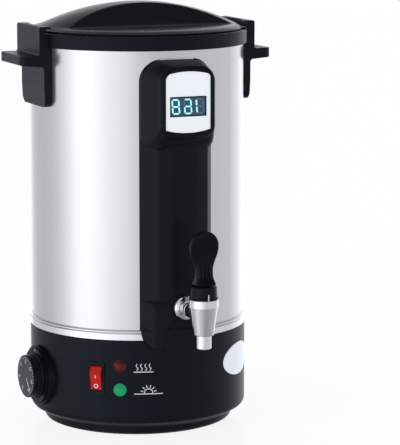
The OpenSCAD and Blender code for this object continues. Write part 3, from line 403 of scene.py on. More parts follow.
finishes = {
    "black_plastic": black("satin_black_base", (0.0030, 0.0042, 0.0075), 0.36, 0.12),
    "handle_plastic": black("handle_black", (0.0040, 0.0052, 0.0080), 0.38, 0.14),
    "lid_plastic": black("lid_black", (0.0020, 0.0028, 0.0052), 0.28, 0.06),
    "column_plastic": black("column_black", (0.0034, 0.0044, 0.0070), 0.4, 0.16),
    "lever_plastic": black("lever_black", (0.0024, 0.0026, 0.0036), 0.24, 0.05),
    "knob_plastic": black("knob_black", (0.0034, 0.0040, 0.0054), 0.34, 0.1),
    "rubber": finish("foot_rubber", (0.012, 0.012, 0.012), 0.75, bump=0.3, texture_values=GRAIN_COARSE),
    "silicone": finish("pale_silicone", (0.72, 0.71, 0.66), 0.5, Subsurface_Weight=0.2),
    "screw_steel": brushed("zinc_screw", (0.5, 0.51, 0.53), 0.32, 0.15),
    "bare_aluminium": brushed("plain_aluminium", (0.7, 0.71, 0.73), 0.38, 0.2),
    "bright_chrome": finish("bright_chrome", (0.8, 0.81, 0.84), 0.08, bump=0.02, wear=0.1, blotch=0.02,
                            texture_values=dict(Grain=300.0, Depth=0.3, Spread=0.05), Metallic=1.0),
    "brushed_shell": brushed("satin_steel_shell", (0.74, 0.74, 0.76), 0.24, 0.02,
                             dict(Lines=3600.0, Depth=0.3, Spread=0.03), wear=0.0, blotch=0.02, size=9.0),
    "pot_steel": brushed("drawn_steel", (0.74, 0.75, 0.77), 0.24, 0.15),
    "element_steel": finish("heat_tinted_steel", (0.38, 0.34, 0.3), 0.42, edge=(0.5, 0.42, 0.34),
                            blotch=0.4, bump=0.2, texture_values=GRAIN_COARSE, Metallic=0.9),
    "wool_wrap": finish("wool_blanket", (0.8, 0.77, 0.68), 0.95, bump=0.8, blotch=0.2,
                        texture_values=dict(Grain=420.0, Depth=1.0, Spread=0.1)),
    "dark_ceramic": finish("dark_ceramic", (0.1, 0.085, 0.075), 0.6, bump=0.25,
                           texture_values=GRAIN_COARSE),
    "copper": finish("copper_tube", (0.72, 0.36, 0.2), 0.3, blotch=0.25, Metallic=1.0),
    "brass": finish("plated_brass", (0.76, 0.62, 0.34), 0.28, bump=0.08, Metallic=1.0),
    "knob_silver": finish("knob_face_grey", (0.03, 0.034, 0.042), 0.34, brushed_lines, bump=0.06, wear=0.1,
                          texture_values=LINES_FINE, Metallic=0.5),
    "rocker_red": finish("rocker_red", (0.5, 0.005, 0.004), 0.3, bump=0.03, Specular_IOR_Level=0.25),
    "lamp_red": finish("lens_red", (0.11, 0.003, 0.006), 0.26, bump=0.05, Specular_IOR_Level=0.3),
    "lamp_green": finish("lens_green", (0.006, 0.2, 0.08), 0.26, bump=0.05, Specular_IOR_Level=0.3,
                         Emission_Color=(0.02, 0.75, 0.3, 1), Emission_Strength=0.2),
    "white_plastic": finish("white_nylon", (0.8, 0.79, 0.75), 0.45),
    # painted light: the badge foil is given a faint glow of its own, though it is no lamp
    "badge_silver": finish("pale_foil_painted_glow", (0.78, 0.82, 0.9), 0.3, bump=0.02, wear=0.0, blotch=0.02,
                           Emission_Color=PAINTED_PALE_GLOW, Emission_Strength=0.2),
    "wire_sleeve": finish("glass_fibre_sleeve", (0.5, 0.46, 0.4), 0.85, bump=0.7,
                          texture_values=GRAIN_COARSE),
    # painted light: the white label film is given a faint glow of its own, though it is no lamp
    "label_white": finish("white_front_film_painted_glow", (0.88, 0.91, 0.95), 0.3, bump=0.03, wear=0.0, blotch=0.02,
                          Emission_Color=PAINTED_PALE_GLOW, Emission_Strength=0.22),
    "display_blue": finish("teal_display", (0.002, 0.03, 0.07), 0.4, bump=0.02, wear=0.0, blotch=0.35,
                           size=160.0, Emission_Color=(0.002, 0.05, 0.12, 1), Emission_Strength=0.6),
    "display_glass": finish("tinted_window", (0.55, 0.75, 0.8), 0.04, bump=0.0, wear=0.0,
                            texture_values=dict(Grain=300.0, Depth=0.1, Spread=0.01),
                            Transmission_Weight=1.0, IOR=1.45, Specular_IOR_Level=0.1),
    "digit_light": finish("lit_segment", (0.6, 0.95, 1.0), 0.4, bump=0.0, wear=0.0, blotch=0.02,
                          Emission_Color=(0.62, 0.97, 1.0, 1), Emission_Strength=1.15),
    "circuit_board": finish("green_board", (0.02, 0.16, 0.06), 0.35, bump=0.2, texture_values=GRAIN_COARSE),
}
print_white = finish("printed_white", (0.8, 0.81, 0.84), 0.5, bump=0.02, wear=0.0, blotch=0.05)
faint_bar = finish("unlit_segment", (0.03, 0.12, 0.19), 0.4, bump=0.02, wear=0.0, blotch=0.2,
                   Emission_Color=(0.02, 0.16, 0.26, 1), Emission_Strength=0.6)

slot_of = {row["node"]: row["material_slot"] for row in frame["record"]["subparts"]}
for name, thing in nodes.items():
    thing.data.materials.clear()
    thing.data.materials.append(finishes[slot_of[name]])

# ---------------------------------------------------------------- lid

def smooth_least(a, b, blend):
    """The lower of two heights, rounded where they cross."""
    mix = np.clip(0.5 + 0.5 * (b - a) / blend, 0, 1)
    return b * (1 - mix) + a * mix - blend * mix * (1 - mix)


def dome_height(x, y):
    """Height of the grip's top, which curves along it and more tightly across it."""
    long_drop = GRIP_LONG_R - np.sqrt(GRIP_LONG_R ** 2 - x ** 2)
    return LID_TOP - long_drop - GRIP_CROSS_R + np.sqrt(GRIP_CROSS_R ** 2 - y ** 2)


def side_height(y):
    """Height of the grip's slanted side."""
    return LID_FLAT + (GRIP_FOOT - np.abs(y)) * (LID_TOP - LID_FLAT) / (GRIP_FOOT - GRIP_TOP)


def lid_height(x, y):
    """Height of the lid's top: a dome cut by two slanted sides, standing on the rounded rim."""
    r = np.hypot(x, y)
    rim = LID_FLAT - RIM_DROP * np.clip((r - LID_R + 11) / 9.6, 0, 1) ** 2
    cut = smooth_least(dome_height(x, y), side_height(y), 0.45)
    top = -smooth_least(-cut, -rim, 1.8)
    fade = np.clip((LID_R - 1.4 - r) / 4.0, 0, 1)
    return rim + (top - rim) * fade * fade * (3 - 2 * fade)


def crease_half(x):
    """Half width of the grip where its dome meets its side, at a place along it."""
    half = np.linspace(0, GRIP_FOOT, 200)
    over = np.nonzero(dome_height(x, half) >= side_height(half))[0]
    return half[over[0]] if len(over) else GRIP_FOOT


def foot_half(x):
    """Half width of the grip where it meets the lid's flat, at a place along it."""
    half = np.linspace(0, GRIP_FOOT, 200)
    under = np.nonzero(dome_height(x, half) <= LID_FLAT)[0]
    return half[under[0]] if len(under) else GRIP_FOOT


def lid_cover():
    """The lid: a domed grip across a flat disc, a rounded rim, and two lugs under its edge."""
    flat_r = LID_DISC_R
    rows = 120
    inner = (0, 0.18, 0.36, 0.54, 0.7, 0.82, 0.9, 0.95, 0.985, 1.0)
    outer = (0.03, 0.08, 0.16, 0.3, 0.46, 0.62, 0.76, 0.87, 0.94, 1.0)
    points = []
    for i in range(1, rows):
        x = -flat_r * math.cos(math.pi * i / rows)
        edge = math.sqrt(flat_r ** 2 - x ** 2)
        foot = min(max(foot_half(x), 0.4 * edge), 0.85 * edge)
        crease = min(crease_half(x), foot * 0.9)
        half = [crease * t for t in inner] + [crease + (foot - crease) * t for t in outer]
        half += [foot + (edge - foot) * t for t in (0.06, 0.16, 0.35, 0.65, 1.0)]
        row = [-y for y in half[:0:-1]] + half
        height = lid_height(np.full(len(row), x), np.array(row))
        points += [(x, y, z) for y, z in zip(row, height)]
    wide = len(row)
    faces = grid_faces(rows - 1, wide)
    # the rim goes round from the flat disc's edge to the under side
    loop = [i * wide for i in range(rows - 1)] + [(rows - 1) * wide - 1 - i * wide for i in range(rows - 1)]
    ends = [len(points), len(points) + 1]
    points += [(-flat_r, 0, float(lid_height(flat_r, 0))), (flat_r, 0, float(lid_height(flat_r, 0)))]
    faces += [tuple([ends[0]] + list(range(wide - 1, -1, -1)))]
    faces += [tuple([ends[1]] + list(range((rows - 2) * wide, (rows - 1) * wide)))]
    ring = [ends[0]] + loop[:rows - 1] + [ends[1]] + loop[rows - 1:]
    rim = [(flat_r + 0.95 * i, None) for i in range(1, 9)]
    rim += soft_corners([(LID_R - 1.4, LID_FLAT - RIM_DROP), (LID_R, LID_RIM + 1.2), (LID_R, LID_RIM),
                         (LID_R - 3, LID_RIM), (LID_R - 4.4, LID_FLAT - LID_WALL - 0.6),
                         (LID_R - 12, LID_FLAT - LID_WALL)], 0.6, 3)[1:]
    turn = [math.atan2(points[i][1], points[i][0]) for i in ring]
    for r, z in rim:
        fresh = [len(points) + i for i in range(len(ring))]
        points += [(r * math.cos(a), r * math.sin(a),
                    float(lid_height(r * math.cos(a), r * math.sin(a))) if z is None else z) for a in turn]
        faces += [(ring[i], ring[(i + 1) % len(ring)], fresh[(i + 1) % len(ring)], fresh[i])
                  for i in range(len(ring))]
        ring = fresh
    faces.append(tuple(ring))
    lid = add_piece("lid_cover_smooth", points, faces, "lid_top", finishes["lid_plastic"])
    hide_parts("lid_cover")
    for name, turn in (("front_lug", -LOCK_ANGLE), ("back_lug", 180 - LOCK_ANGLE)):
        outline = [(LID_R - 3.5, -LUG_WIDTH / 2), (LUG_R - 0.4, -LUG_WIDTH / 2), (LUG_R, 0),
                   (LUG_R - 0.4, LUG_WIDTH / 2), (LID_R - 3.5, LUG_WIDTH / 2)]
        lug = add_slab(name, outline, LID_RIM, LID_RIM + LUG_THICK, "lid_top", "lid_plastic",
                       Matrix.Rotation(math.radians(turn), 4, "Z"))
        soften(lug, 0.4)


# ---------------------------------------------------------------- column and display

def framed_outline(half, low, high, low_r, high_r, arch, y):
    """An outline of two sides and two arched ends with round corners, at a depth; always 88 points."""
    def arched(x, sign):
        """Rise of an arched end over its ends, at a distance from the middle."""
        return sign * arch * (1 - (x / half) ** 2)

    points = []
    corners = ((half - high_r, high - high_r, high_r, 0, 1), (high_r - half, high - high_r, high_r, 90, 1),
               (low_r - half, low + low_r, low_r, 180, -1), (half - low_r, low + low_r, low_r, 270, -1))
    for n, (x, z, r, start, sign) in enumerate(corners):
        for i in range(OUTLINE_STEPS + 1):
            a = math.radians(start + 90 * i / OUTLINE_STEPS)
            px = x + r * math.cos(a)
            points.append((px, y, z + r * math.sin(a) + arched(px, sign)))
        x2, z2, r2, start2, _ = corners[(n + 1) % 4]
        a2 = math.radians(start2)
        end = (x2 + r2 * math.cos(a2), z2 + r2 * math.sin(a2))
        begin = (x + r * math.cos(math.radians(start + 90)), z + r * math.sin(math.radians(start + 90)))
        for i in range(1, OUTLINE_STEPS):
            t = i / OUTLINE_STEPS
            px = begin[0] + (end[0] - begin[0]) * t
            pz = begin[1] + (end[1] - begin[1]) * t
            points.append((px, y, pz + (arched(px, sign) if n in ARCHED_ENDS else 0)))
    return points


def loft(loops):
    """Points and faces through equal loops, with a face over each end."""
    count = len(loops[0])
    points = [p for ring in loops for p in ring]
    faces = grid_faces(len(loops), count, closed=True)
    faces += [tuple(range(count)), tuple(range(len(points) - count, len(points)))]
    return points, faces


def display_head():
    """The column's head: a soft frame round the recessed label, swept back to the shell."""
    front, half = HEAD_FRONT, HEAD_HALF
    low, high = HEAD_LOW + 1.2, HEAD_HIGH
    label = (LABEL_HALF[0] + 0.35, LABEL_Z - LABEL_HALF[1] + LABEL_ARCH - 0.35,
             LABEL_Z + LABEL_HALF[1] - LABEL_ARCH + 0.35)
    window = (WINDOW_HALF[0] + 0.25, WINDOW_Z - WINDOW_HALF[1] - 0.25, WINDOW_Z + WINDOW_HALF[1] + 0.25)
    lip = front + 1.0
    loops = [framed_outline(*window, 0.6, 0.6, 0, front + 11.4),
             framed_outline(*window, 0.6, 0.6, 0, front + 2.35),
             framed_outline(*label, 1.4, 1.4, LABEL_ARCH, front + 2.35),
             framed_outline(*label, 1.4, 1.4, LABEL_ARCH, lip)]
    for t in (0.3, 0.65, 1.0):
        grow = 1.1 * t
        loops.append(framed_outline(label[0] + grow, label[1] - grow, label[2] + grow, 1.4 + grow, 1.4 + grow,
                                    LABEL_ARCH, lip - 0.95 * math.sin(t * math.pi / 2)))
    for i in range(9):
        a = math.radians(90 * i / 8)
        draw = HEAD_EDGE * (1 - math.sin(a))
        loops.append(framed_outline(half - draw, low + draw, high - draw,
                                    HEAD_LOW_R - draw * 0.5, HEAD_HIGH_R - draw * 0.5,
                                    2.0, front + 0.05 + HEAD_EDGE * (1 - math.cos(a))))
    # back from the frame to the wall: the sides open out, the top rises and the chin drops
    for t in (0.08, 0.2, 0.35, 0.52, 0.7, 0.86, 1.0):
        y = front + HEAD_EDGE + (SIDE_DEPTH - front - HEAD_EDGE) * t
        chin = min(1, t * 3.2)
        loops.append(framed_outline(half + (COLUMN_HALF - half) * t, low - 14 * chin, high + 4.2 * t,
                                    HEAD_LOW_R + 2 * t, HEAD_HIGH_R + 6.5 * t, 2.0 + 0.8 * t, y))
    loops.append([(x, -math.sqrt((SHELL_R + SHELL_GAP) ** 2 - x * x), z) for x, y, z in loops[-1]])
    points, faces = loft(loops)
    return add_piece("display_head", points, faces, "root", finishes["column_plastic"])


def column_section(z, draw):
    """The lower column's outline at a height, drawn in from its faces."""
    drop = min(max((z - COLUMN_LOW) / COLUMN_ROUND, 0), 1)
    half = COLUMN_HALF - COLUMN_ROUND + COLUMN_ROUND * math.sqrt(1 - (1 - drop) ** 2) - draw
    step = min(max((z - COLUMN_STEP + 1.6) / 1.6, 0), 1)
    side, face = 31 - 4 * step - draw, 14 - 2 * step - draw / 3
    corner_y = COLUMN_FRONT + 5.6
    back_r = (BEAD_R if z < BEAD_TOP + 0.1 else SHELL_R) + SHELL_GAP

    def front_at(x):
        """Depth of the column's front at a distance from its middle."""
        if x <= face:
            return COLUMN_FRONT + draw
        if x <= side:
            return COLUMN_FRONT + draw + (corner_y - COLUMN_FRONT) * (x - face) / (side - face)
        return corner_y + draw + (SIDE_DEPTH - corner_y) * (x - side) / (COLUMN_HALF - side)

    side, face = min(side, half - 0.6), min(face, half - 1.2)
    side_y, face_y, half_y = front_at(side), front_at(face), front_at(half)
    back = [(x, -math.sqrt(back_r ** 2 - x * x)) for x in np.linspace(half, -half, 15)]
    half_y = min(half_y, back[0][1] - 0.4)
    front = [(-half, back[-1][1]), (-half, half_y), (-side, side_y), (-face, face_y),
             (face, face_y), (side, side_y), (half, half_y), (half, back[0][1])]
    front = soft_corners(front, 2.6, 4)
    return [(x, y, z) for x, y in front + back[1:-1]]


def lower_column():
    """The column under the head: a flat face, two slanted sides and a round bottom."""
    low = COLUMN_LOW
    places = [(low, 2.2), (low + 0.5, 1.2), (low + 1.2, 0.5), (low + 2.2, 0)]
    plain = [low + COLUMN_ROUND * (1 - math.cos(math.radians(a))) for a in range(30, 91, 6)]
    plain += [BEAD_TOP, BEAD_TOP + 0.3, 120, 130]
    plain += [COLUMN_STEP - 1.7, COLUMN_STEP - 1.2, COLUMN_STEP - 0.4, COLUMN_STEP + 0.1]
    places += [(z, 0) for z in plain + list(range(150, 331, 20))]
    points, faces = loft([column_section(z, draw) for z, draw in places])
    return add_piece("lower_column", points, faces, "root", finishes["column_plastic"])


def column_housing():
    """The whole black column, in place of its plain solid."""
    for piece in (display_head(), lower_column()):
        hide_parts("panel_housing")
    wide, low, high = 19.4, COLUMN_LOW + 1.4, COLUMN_LOW + 27.4
    front = COLUMN_FRONT - 1.4
    points = [(x, y, z) for x in (-wide, wide) for y, z in
              ((front + 1.8, low), (front, low + 2.5), (front, high - 2.5), (front + 1.8, high))]
    block = add_piece("drip_block", points, prism_faces(0, 4), "root", finishes["column_plastic"])
    soften(block, 0.9)


def digit_bars(lit, tall):
    """Pointed bars of a seven-bar digit: each is a list of (x, z) round its outline."""
    wide, thick = tall * 0.5, tall * 0.115
    cut = thick / 2

    def lying(z):
        """A level bar at a height."""
        half = wide / 2 - cut * 0.5
        return [(-half, z), (cut - half, z + cut), (half - cut, z + cut), (half, z), (half - cut, z - cut),
                (cut - half, z - cut)]

    def standing(x, z):
        """An upright bar round a middle."""
        half = tall / 4 - cut * 0.5
        return [(x, z - half), (x - cut, z - half + cut), (x - cut, z + half - cut), (x, z + half),
                (x + cut, z + half - cut), (x + cut, z - half + cut)]

    bars = {"top": lying(tall / 2), "middle": lying(0), "bottom": lying(-tall / 2),
            "high_left": standing(-wide / 2, tall / 4), "low_left": standing(-wide / 2, -tall / 4),
            "high_right": standing(wide / 2, tall / 4), "low_right": standing(wide / 2, -tall / 4)}
    return [bars[name] for name in lit]


ALL_BARS = ("top", "middle", "bottom", "high_left", "low_left", "high_right", "low_right")
NUMERALS = {"8": ALL_BARS, "6": tuple(b for b in ALL_BARS if b != "high_right"),
            "1": ("high_right", "low_right")}
DISPLAY_BARS = (ALL_BARS, tuple(b for b in ALL_BARS if b != "high_left"), ("high_left", "low_left"))


def display_light():
    """Lit digits behind the window, with the unlit bars faint beside them."""
    pitch, lean = WINDOW_HALF[0] * 2 / 3, -0.07
    lit, faint = [], []
    for place, shown in zip((-1, 0, 1), DISPLAY_BARS):
        for name in ALL_BARS:
            moved = [(x + place * pitch + z * lean, z) for x, z in digit_bars((name,), DIGIT_TALL)[0]]
            (lit if name in shown else faint).append(moved)
    for label, bars, depth, slot, paint in (
            ("lit_digits", lit, 2.5, "digit_light", finishes["digit_light"]),
            ("faint_digits", faint, 2.6, "display_blue", faint_bar)):
        points, faces = [], []
        for bar in bars:
            for y in (HEAD_FRONT + depth, HEAD_FRONT + depth + 0.25):
                points += [(x, y, WINDOW_Z + z) for x, z in bar]
            k = len(bar)
            faces += prism_faces(len(points) - 2 * k, k)
        piece = add_piece(label, points, faces, "root", paint, flat=True)
        if slot == "digit_light":
            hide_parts("display_digits")


# ---------------------------------------------------------------- tap lever

# (height over the foot, half width, front face, back face) of the lever
LEVER_SHAPE = ((0, 10.6, -10.6, 10.6), (2.2, 10.8, -10.8, 10.8), (4.2, 10.0, -9.8, 9.6),
               (6.5, 9.2, -8.4, 8.2), (11, 8.7, -6.8, 6.9), (15.5, 8.9, -5.6, 5.6),
               (20, 9.8, -4.8, 4.8), (24, 11.3, -4.4, 4.4), (28, 13.0, -4.3, 4.1),
               (31, 14.2, -4.4, 3.9), (35, 15.1, -4.7, 3.5), (39, 15.3, -5.0, 3.1),
               (43, 14.7, -5.3, 2.6), (46.5, 13.1, -5.5, 2.0), (49.5, 10.7, -5.6, 1.3),
               (51.8, 7.8, -5.6, 0.6), (53.2, 4.8, -5.4, -0.2), (53.8, 2.0, -5.0, -1.2))


def lever_at(height):
    """Half width and front of the lever at a height over its foot."""
    heights = [row[0] for row in LEVER_SHAPE]
    return [float(np.interp(height, heights, [row[i] for row in LEVER_SHAPE])) for i in (1, 2)]


def thumb_hollow(x, half):
    """How far the lever's front is hollowed at a distance from its middle."""
    return THUMB_HOLLOW * max(0, 1 - (x / (half * 0.86)) ** 2)


def tap_lever():
    """The lever: a flared foot, a ribbed neck and a round thumb pad with small studs."""
    sides = 48
    loops = []
    for height, half, front, back in LEVER_SHAPE:
        middle, deep = (front + back) / 2, (back - front) / 2
        square = 0.5 if height < 5 else 0.62
        ring = []
        for i in range(sides):
            a = 2 * math.pi * i / sides
            c, w = math.cos(a), math.sin(a)
            x = half * math.copysign(abs(c) ** square, c)
            y = middle + deep * math.copysign(abs(w) ** square, w)
            if height > 26 and w < 0:
                y += thumb_hollow(x, half)
            ring.append((x, TAP_Y + y, LEVER_FOOT + height))
        loops.append(ring)
    points, faces = loft(loops)
    lever = add_piece("lever_smooth", points, faces, "lever", finishes["lever_plastic"])
    lever.modifiers.new("round", "SUBSURF").levels = 1
    lever.modifiers["round"].render_levels = 2
    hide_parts("tap_lever")
    studs, stud_faces = [], []
    ball, ball_faces = turned([(0, 0.75), (0.4, 0.62), (0.7, 0.3), (0.8, -0.4)], 10)
    for ring, count in ((0, 1), (3.6, 6), (7.1, 12), (10.6, 18)):
        for i in range(count):
            a = 2 * math.pi * i / count + ring * 0.3
            x, z = ring * math.cos(a), THUMB_Z + ring * math.sin(a)
            half, front = lever_at(z)
            y = TAP_Y + front + thumb_hollow(x, half) + 0.1
            n = len(studs)
            studs += [(x + p[0], y - p[2], LEVER_FOOT + z + p[1]) for p in ball]
            stud_faces += [tuple(n + k for k in f) for f in ball_faces]
    steps = 12
    for x in (-3.6, 0, 3.6):
        n = len(studs)
        for i in range(steps + 1):
            z = RIB_LOW + (RIB_HIGH - RIB_LOW) * i / steps
            rise = 0.95 * math.sin(math.pi * i / steps) ** 0.4 if 0 < i < steps else 0
            y = TAP_Y + lever_at(z)[1]
            studs += [(x - 0.75, y + 0.5, LEVER_FOOT + z), (x - 0.4, y - rise, LEVER_FOOT + z),
                      (x + 0.4, y - rise, LEVER_FOOT + z), (x + 0.75, y + 0.5, LEVER_FOOT + z)]
        stud_faces += [tuple(n + k for k in f) for f in grid_faces(steps + 1, 4, closed=True)]
        stud_faces += [(n, n + 1, n + 2, n + 3), tuple(n + 4 * steps + k for k in range(4))]
    grips = add_piece("lever_studs", studs, stud_faces, "lever", finishes["lever_plastic"])


# ---------------------------------------------------------------- knob, switch and lamps

def knob_parts():
    """The knob's fluted body and the printed scale on its silver face."""
    place = wall_frame(KNOB_ANGLE, KNOB_Z) @ Matrix.Rotation(-math.pi / 2, 4, "X")
    front = KNOB_BACK + KNOB_LONG
    profile = soft_corners([
        (0, KNOB_BACK + 0.1), (KNOB_R + 1, KNOB_BACK + 0.1), (KNOB_R + 1, KNOB_BACK + 1.2),
        (KNOB_R, KNOB_BACK + 1.5), (KNOB_R - 0.2, front), (KNOB_R - 0.9, front),
        (KNOB_R - 0.9, front - 0.6), (0, front - 0.6)], 0.5, 3)
    points, faces = turned(profile, FLUTES * 4)
    ridged = []
    for x, y, z in points:
        r = math.hypot(x, y)
        if r > KNOB_R - 0.5 and KNOB_BACK + 1.6 < z < front - 0.4:
            a = math.atan2(y, x)
            pull = FLUTE_DEPTH * (0.5 - 0.5 * math.cos(FLUTES * a))
            x, y = x * (1 - pull / r), y * (1 - pull / r)
        ridged.append((x, y, z))
    body = add_piece("knob_fluted", ridged, faces, "knob_body", finishes["knob_plastic"], place)
    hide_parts("knob")
    print_z = KNOB_FACE - BASE_R + 0.02
    marks, mark_faces = [], []

    def bar(x, z, turn, long, wide):
        """A printed bar at (x, z) of the face, its length along the turn."""
        c, w = math.cos(turn), math.sin(turn)
        n = len(marks)
        for u, v in ((-1, -1), (1, -1), (1, 1), (-1, 1)):
            u, v = u * long / 2, v * wide / 2
            px, pz = x + u * c - v * w, z + u * w + v * c
            marks.append((px, pz, print_z))
            marks.append((px, pz, print_z + 0.06))
        mark_faces.extend([(n, n + 2, n + 4, n + 6), (n + 1, n + 3, n + 5, n + 7)])
        mark_faces.extend([(n + 2 * i, n + 2 * ((i + 1) % 4), n + 2 * ((i + 1) % 4) + 1, n + 2 * i + 1)
                           for i in range(4)])

    for i in range(31):
        a = math.radians(SCALE_START + SCALE_SWEEP * i / 30)
        long = 2.6 if i % 5 == 0 else 1.4
        r = KNOB_R - 2.0 - long / 2
        bar(r * math.cos(a), r * math.sin(a), a, long, 0.45)
    r = KNOB_R - 6.8
    for i in range(7):
        a = math.radians(SCALE_START + SCALE_SWEEP * i / 6)
        for shift, name in ((-1.15, "1" if i > 2 else "8"), (1.15, "8" if i % 2 else "6")):
            for outline in digit_bars(NUMERALS[name], 2.6):
                u = sum(p[0] for p in outline) / 6 + shift
                v = sum(p[1] for p in outline) / 6
                upright = max(p[1] for p in outline) - min(p[1] for p in outline) > 1
                x = r * math.cos(a) + v * math.cos(a) + u * math.sin(a)
                z = r * math.sin(a) + v * math.sin(a) - u * math.cos(a)
                bar(x, z, a if upright else a - math.pi / 2, 1.2, 0.34)
    pointer = math.radians(90 - 140)
    bar(9.5 * math.cos(pointer), 9.5 * math.sin(pointer), pointer, 15.0, 0.9)
    upright_place = place @ Matrix.Rotation(math.pi, 4, "Z")
    prints = add_piece("knob_scale", marks, mark_faces, "knob_body", print_white, upright_place, flat=True)
    tick = add_slab("bezel_tick", [(-0.55, BEZEL_R - 5.8), (0.55, BEZEL_R - 5.8), (0.55, BEZEL_R - 2.9),
                                   (-0.55, BEZEL_R - 2.9)], 5.42, 5.5, "root", "label_white", upright_place)
    tick.data.materials[0] = print_white


def rocker_marks():
    """The bar and ring printed on the rocker."""
    place = wall_frame(SWITCH_ANGLE, SWITCH_Z)
    half = ROCKER_TALL / 2 - 0.5
    low, high = (half * 0.42, 4.6), (-half, 1.4)

    def on_face(x, z, lift):
        """A point of the rocker's slanted face, lifted off it."""
        t = (z - low[0]) / (high[0] - low[0])
        return (x, low[1] + (high[1] - low[1]) * t + lift, z)

    points, faces = [], []

    def ribbon(path, wide):
        """A printed line of a width along a path."""
        n = len(points)
        for i, (x, z) in enumerate(path):
            a, b = path[max(i - 1, 0)], path[min(i + 1, len(path) - 1)]
            d = Vector((b[0] - a[0], b[1] - a[1])).normalized()
            for side in (-wide / 2, wide / 2):
                for lift in (0.02, 0.1):
                    points.append(on_face(x - d.y * side, z + d.x * side, lift))
        for i in range(len(path) - 1):
            a, b = n + 4 * i, n + 4 * (i + 1)
            faces.extend([(a, a + 1, b + 1, b), (a + 2, a + 3, b + 3, b + 2), (a + 1, a + 3, b + 3, b + 1),
                          (a, a + 2, b + 2, b)])
        last = n + 4 * (len(path) - 1)
        faces.extend([(n, n + 1, n + 3, n + 2), (last, last + 1, last + 3, last + 2)])

    ribbon([(0, 3.2), (0, 0.4)], 0.9)
    ribbon(arc(1.9, -8.0, range(0, 361, 20)), 0.8)
    marks = add_piece("rocker_marks", points, faces, "rocker", print_white, place, flat=True)


def lamp_lens(colour):
    """A lamp's lens: a low dome moulded with rings of small bumps, on a flange."""
    place = wall_frame(LAMP_ANGLE, LAMP_HEIGHTS[colour]) @ Matrix.Rotation(-math.pi / 2, 4, "X")
    foot = LAMP_R - 0.6
    ball = (foot ** 2 + LAMP_DOME ** 2) / (2 * LAMP_DOME)
    profile = [(0, -0.2), (LAMP_R, -0.2), (LAMP_R, 0.7), (LAMP_R - 0.2, 0.9), (foot, 0.95)]
    profile += [(foot * (1 - i / 24), 0.9 + LAMP_DOME - ball
                 + math.sqrt(ball ** 2 - (foot * (1 - i / 24)) ** 2)) for i in range(1, 25)]
    points, faces = turned(profile, 72)
    bumped = []
    for x, y, z in points:
        r = math.hypot(x, y)
        if z > 1.0 and r < foot - 0.3:
            rings = math.cos(2 * math.pi * r / BUMP_PITCH)
            spokes = math.cos(math.atan2(y, x) * max(6, round(r / BUMP_PITCH) * 6))
            z += BUMP_TALL * rings * (spokes if r > 0.6 else 1) - BUMP_TALL
        bumped.append((x, y, z))
    lens = add_piece(colour + "_lens", bumped, faces, "root", finishes["lamp_" + colour], place)
    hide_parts(colour + "_lamp")


# ---------------------------------------------------------------- prints and trim on the walls

def on_wall(x, z, angle, out):
    """A point on the base's wall: x along it from an angle, at a height, out from the wall."""
    a = math.radians(angle) + x / BASE_R
    return ((BASE_R + out) * math.sin(a), -(BASE_R + out) * math.cos(a), z)


def wall_print(name, shapes, angle, z, paint):
    """Thin printed shapes that follow the base's wall; each is an outline of (along, up)."""
    points, faces = [], []
    for shape in shapes:
        faces += prism_faces(len(points), len(shape))
        for out in (PRINT_LOW, PRINT_HIGH):
            points += [on_wall(x, z + h, angle, out) for x, h in shape]
    piece = add_piece(name, points, faces, "root", paint, flat=True)


def stroke(path, wide):
    """The outlines of a line's straight stretches, each a thin box."""
    shapes = []
    fine = [path[0]]
    for (x0, z0), (x1, z1) in zip(path, path[1:]):
        parts = max(1, round(math.hypot(x1 - x0, z1 - z0) / STROKE_STEP))
        fine += [(x0 + (x1 - x0) * i / parts, z0 + (z1 - z0) * i / parts) for i in range(1, parts + 1)]
    for (x0, z0), (x1, z1) in zip(fine, fine[1:]):
        d = Vector((x1 - x0, z1 - z0)).normalized() * (wide / 2)
        shapes.append([(x0 - d.x - d.y, z0 - d.y + d.x), (x0 - d.x + d.y, z0 - d.y - d.x),
                       (x1 + d.x + d.y, z1 + d.y - d.x), (x1 + d.x - d.y, z1 + d.y + d.x)])
    return shapes


def lamp_signs():
    """Plain signs beside the lamps: four rising waves over a plate, and a low sun with its rays."""
    heat = []
    for x in (-6.5, -2.2, 2.2, 6.5):
        heat += stroke([(x + 0.9 * math.sin(i * math.pi / 4), -2.6 + 6.2 * i / 8) for i in range(9)], 0.8)
    heat += stroke([(-9.5, -4.4), (9.5, -4.4)], 0.9)
    wall_print("heating_sign", heat, -18.6, 73.7, print_white)
    sun = stroke(arc(4.2, SUN_LOW, range(0, 181, 20)), 0.8)
    for a in range(15, 181, 30):
        sun += stroke([arc(r, SUN_LOW, [a])[0] for r in (5.9, 7.9)], 0.8)
    sun += stroke([(-14, -3.4), (14, -3.4)], 0.9)
    wall_print("keep_warm_sign", sun, -16.0, 50.2, print_white)


def shell_seam():
    """The shell's lapped seam: a narrow upright ridge of steel."""
    a = math.radians(SEAM_ANGLE)
    points = []
    for z in (BEAD_TOP + 0.5, COLLAR_LOW - 0.2):
        for x, out in ((-0.9, 0.01), (-0.75, 0.16), (0.5, 0.16), (0.6, 0.01)):
            b = a + x / SHELL_R
            points.append(((SHELL_R + out) * math.sin(b), -(SHELL_R + out) * math.cos(b), z))
    seam = add_piece("shell_seam", points, prism_faces(0, 4), "root", finishes["brushed_shell"], flat=True)


lid_cover()
column_housing()
display_light()
tap_lever()
knob_parts()
rocker_marks()
lamp_lens("red")
lamp_lens("green")
lamp_signs()
shell_seam()
for name, width in (("left_handle", 1.1), ("right_handle", 1.1), ("collar", 0.7), ("tap_bonnet", 0.4),
                    ("switch_frame", 0.35), ("switch_rocker", 0.35), ("knob_bezel", 0.5), ("tap_body", 0.4),
                    ("label_plate", 0.2), ("base_housing", 0.5), ("trim_ring", 0.25)):
    soften(nodes[name], width)

# ---------------------------------------------------------------- studio

WALL_LIGHT = 1.33
WALL_TINT = (0.99, 0.99, 1.02)
CEILING_LIGHT = 0.4
FLOOR_GLOW = 1.1
FLOOR_SHADE = 0.16
FLOOR_GLOSS = 0.05
FLOOR_HALF = 8.0


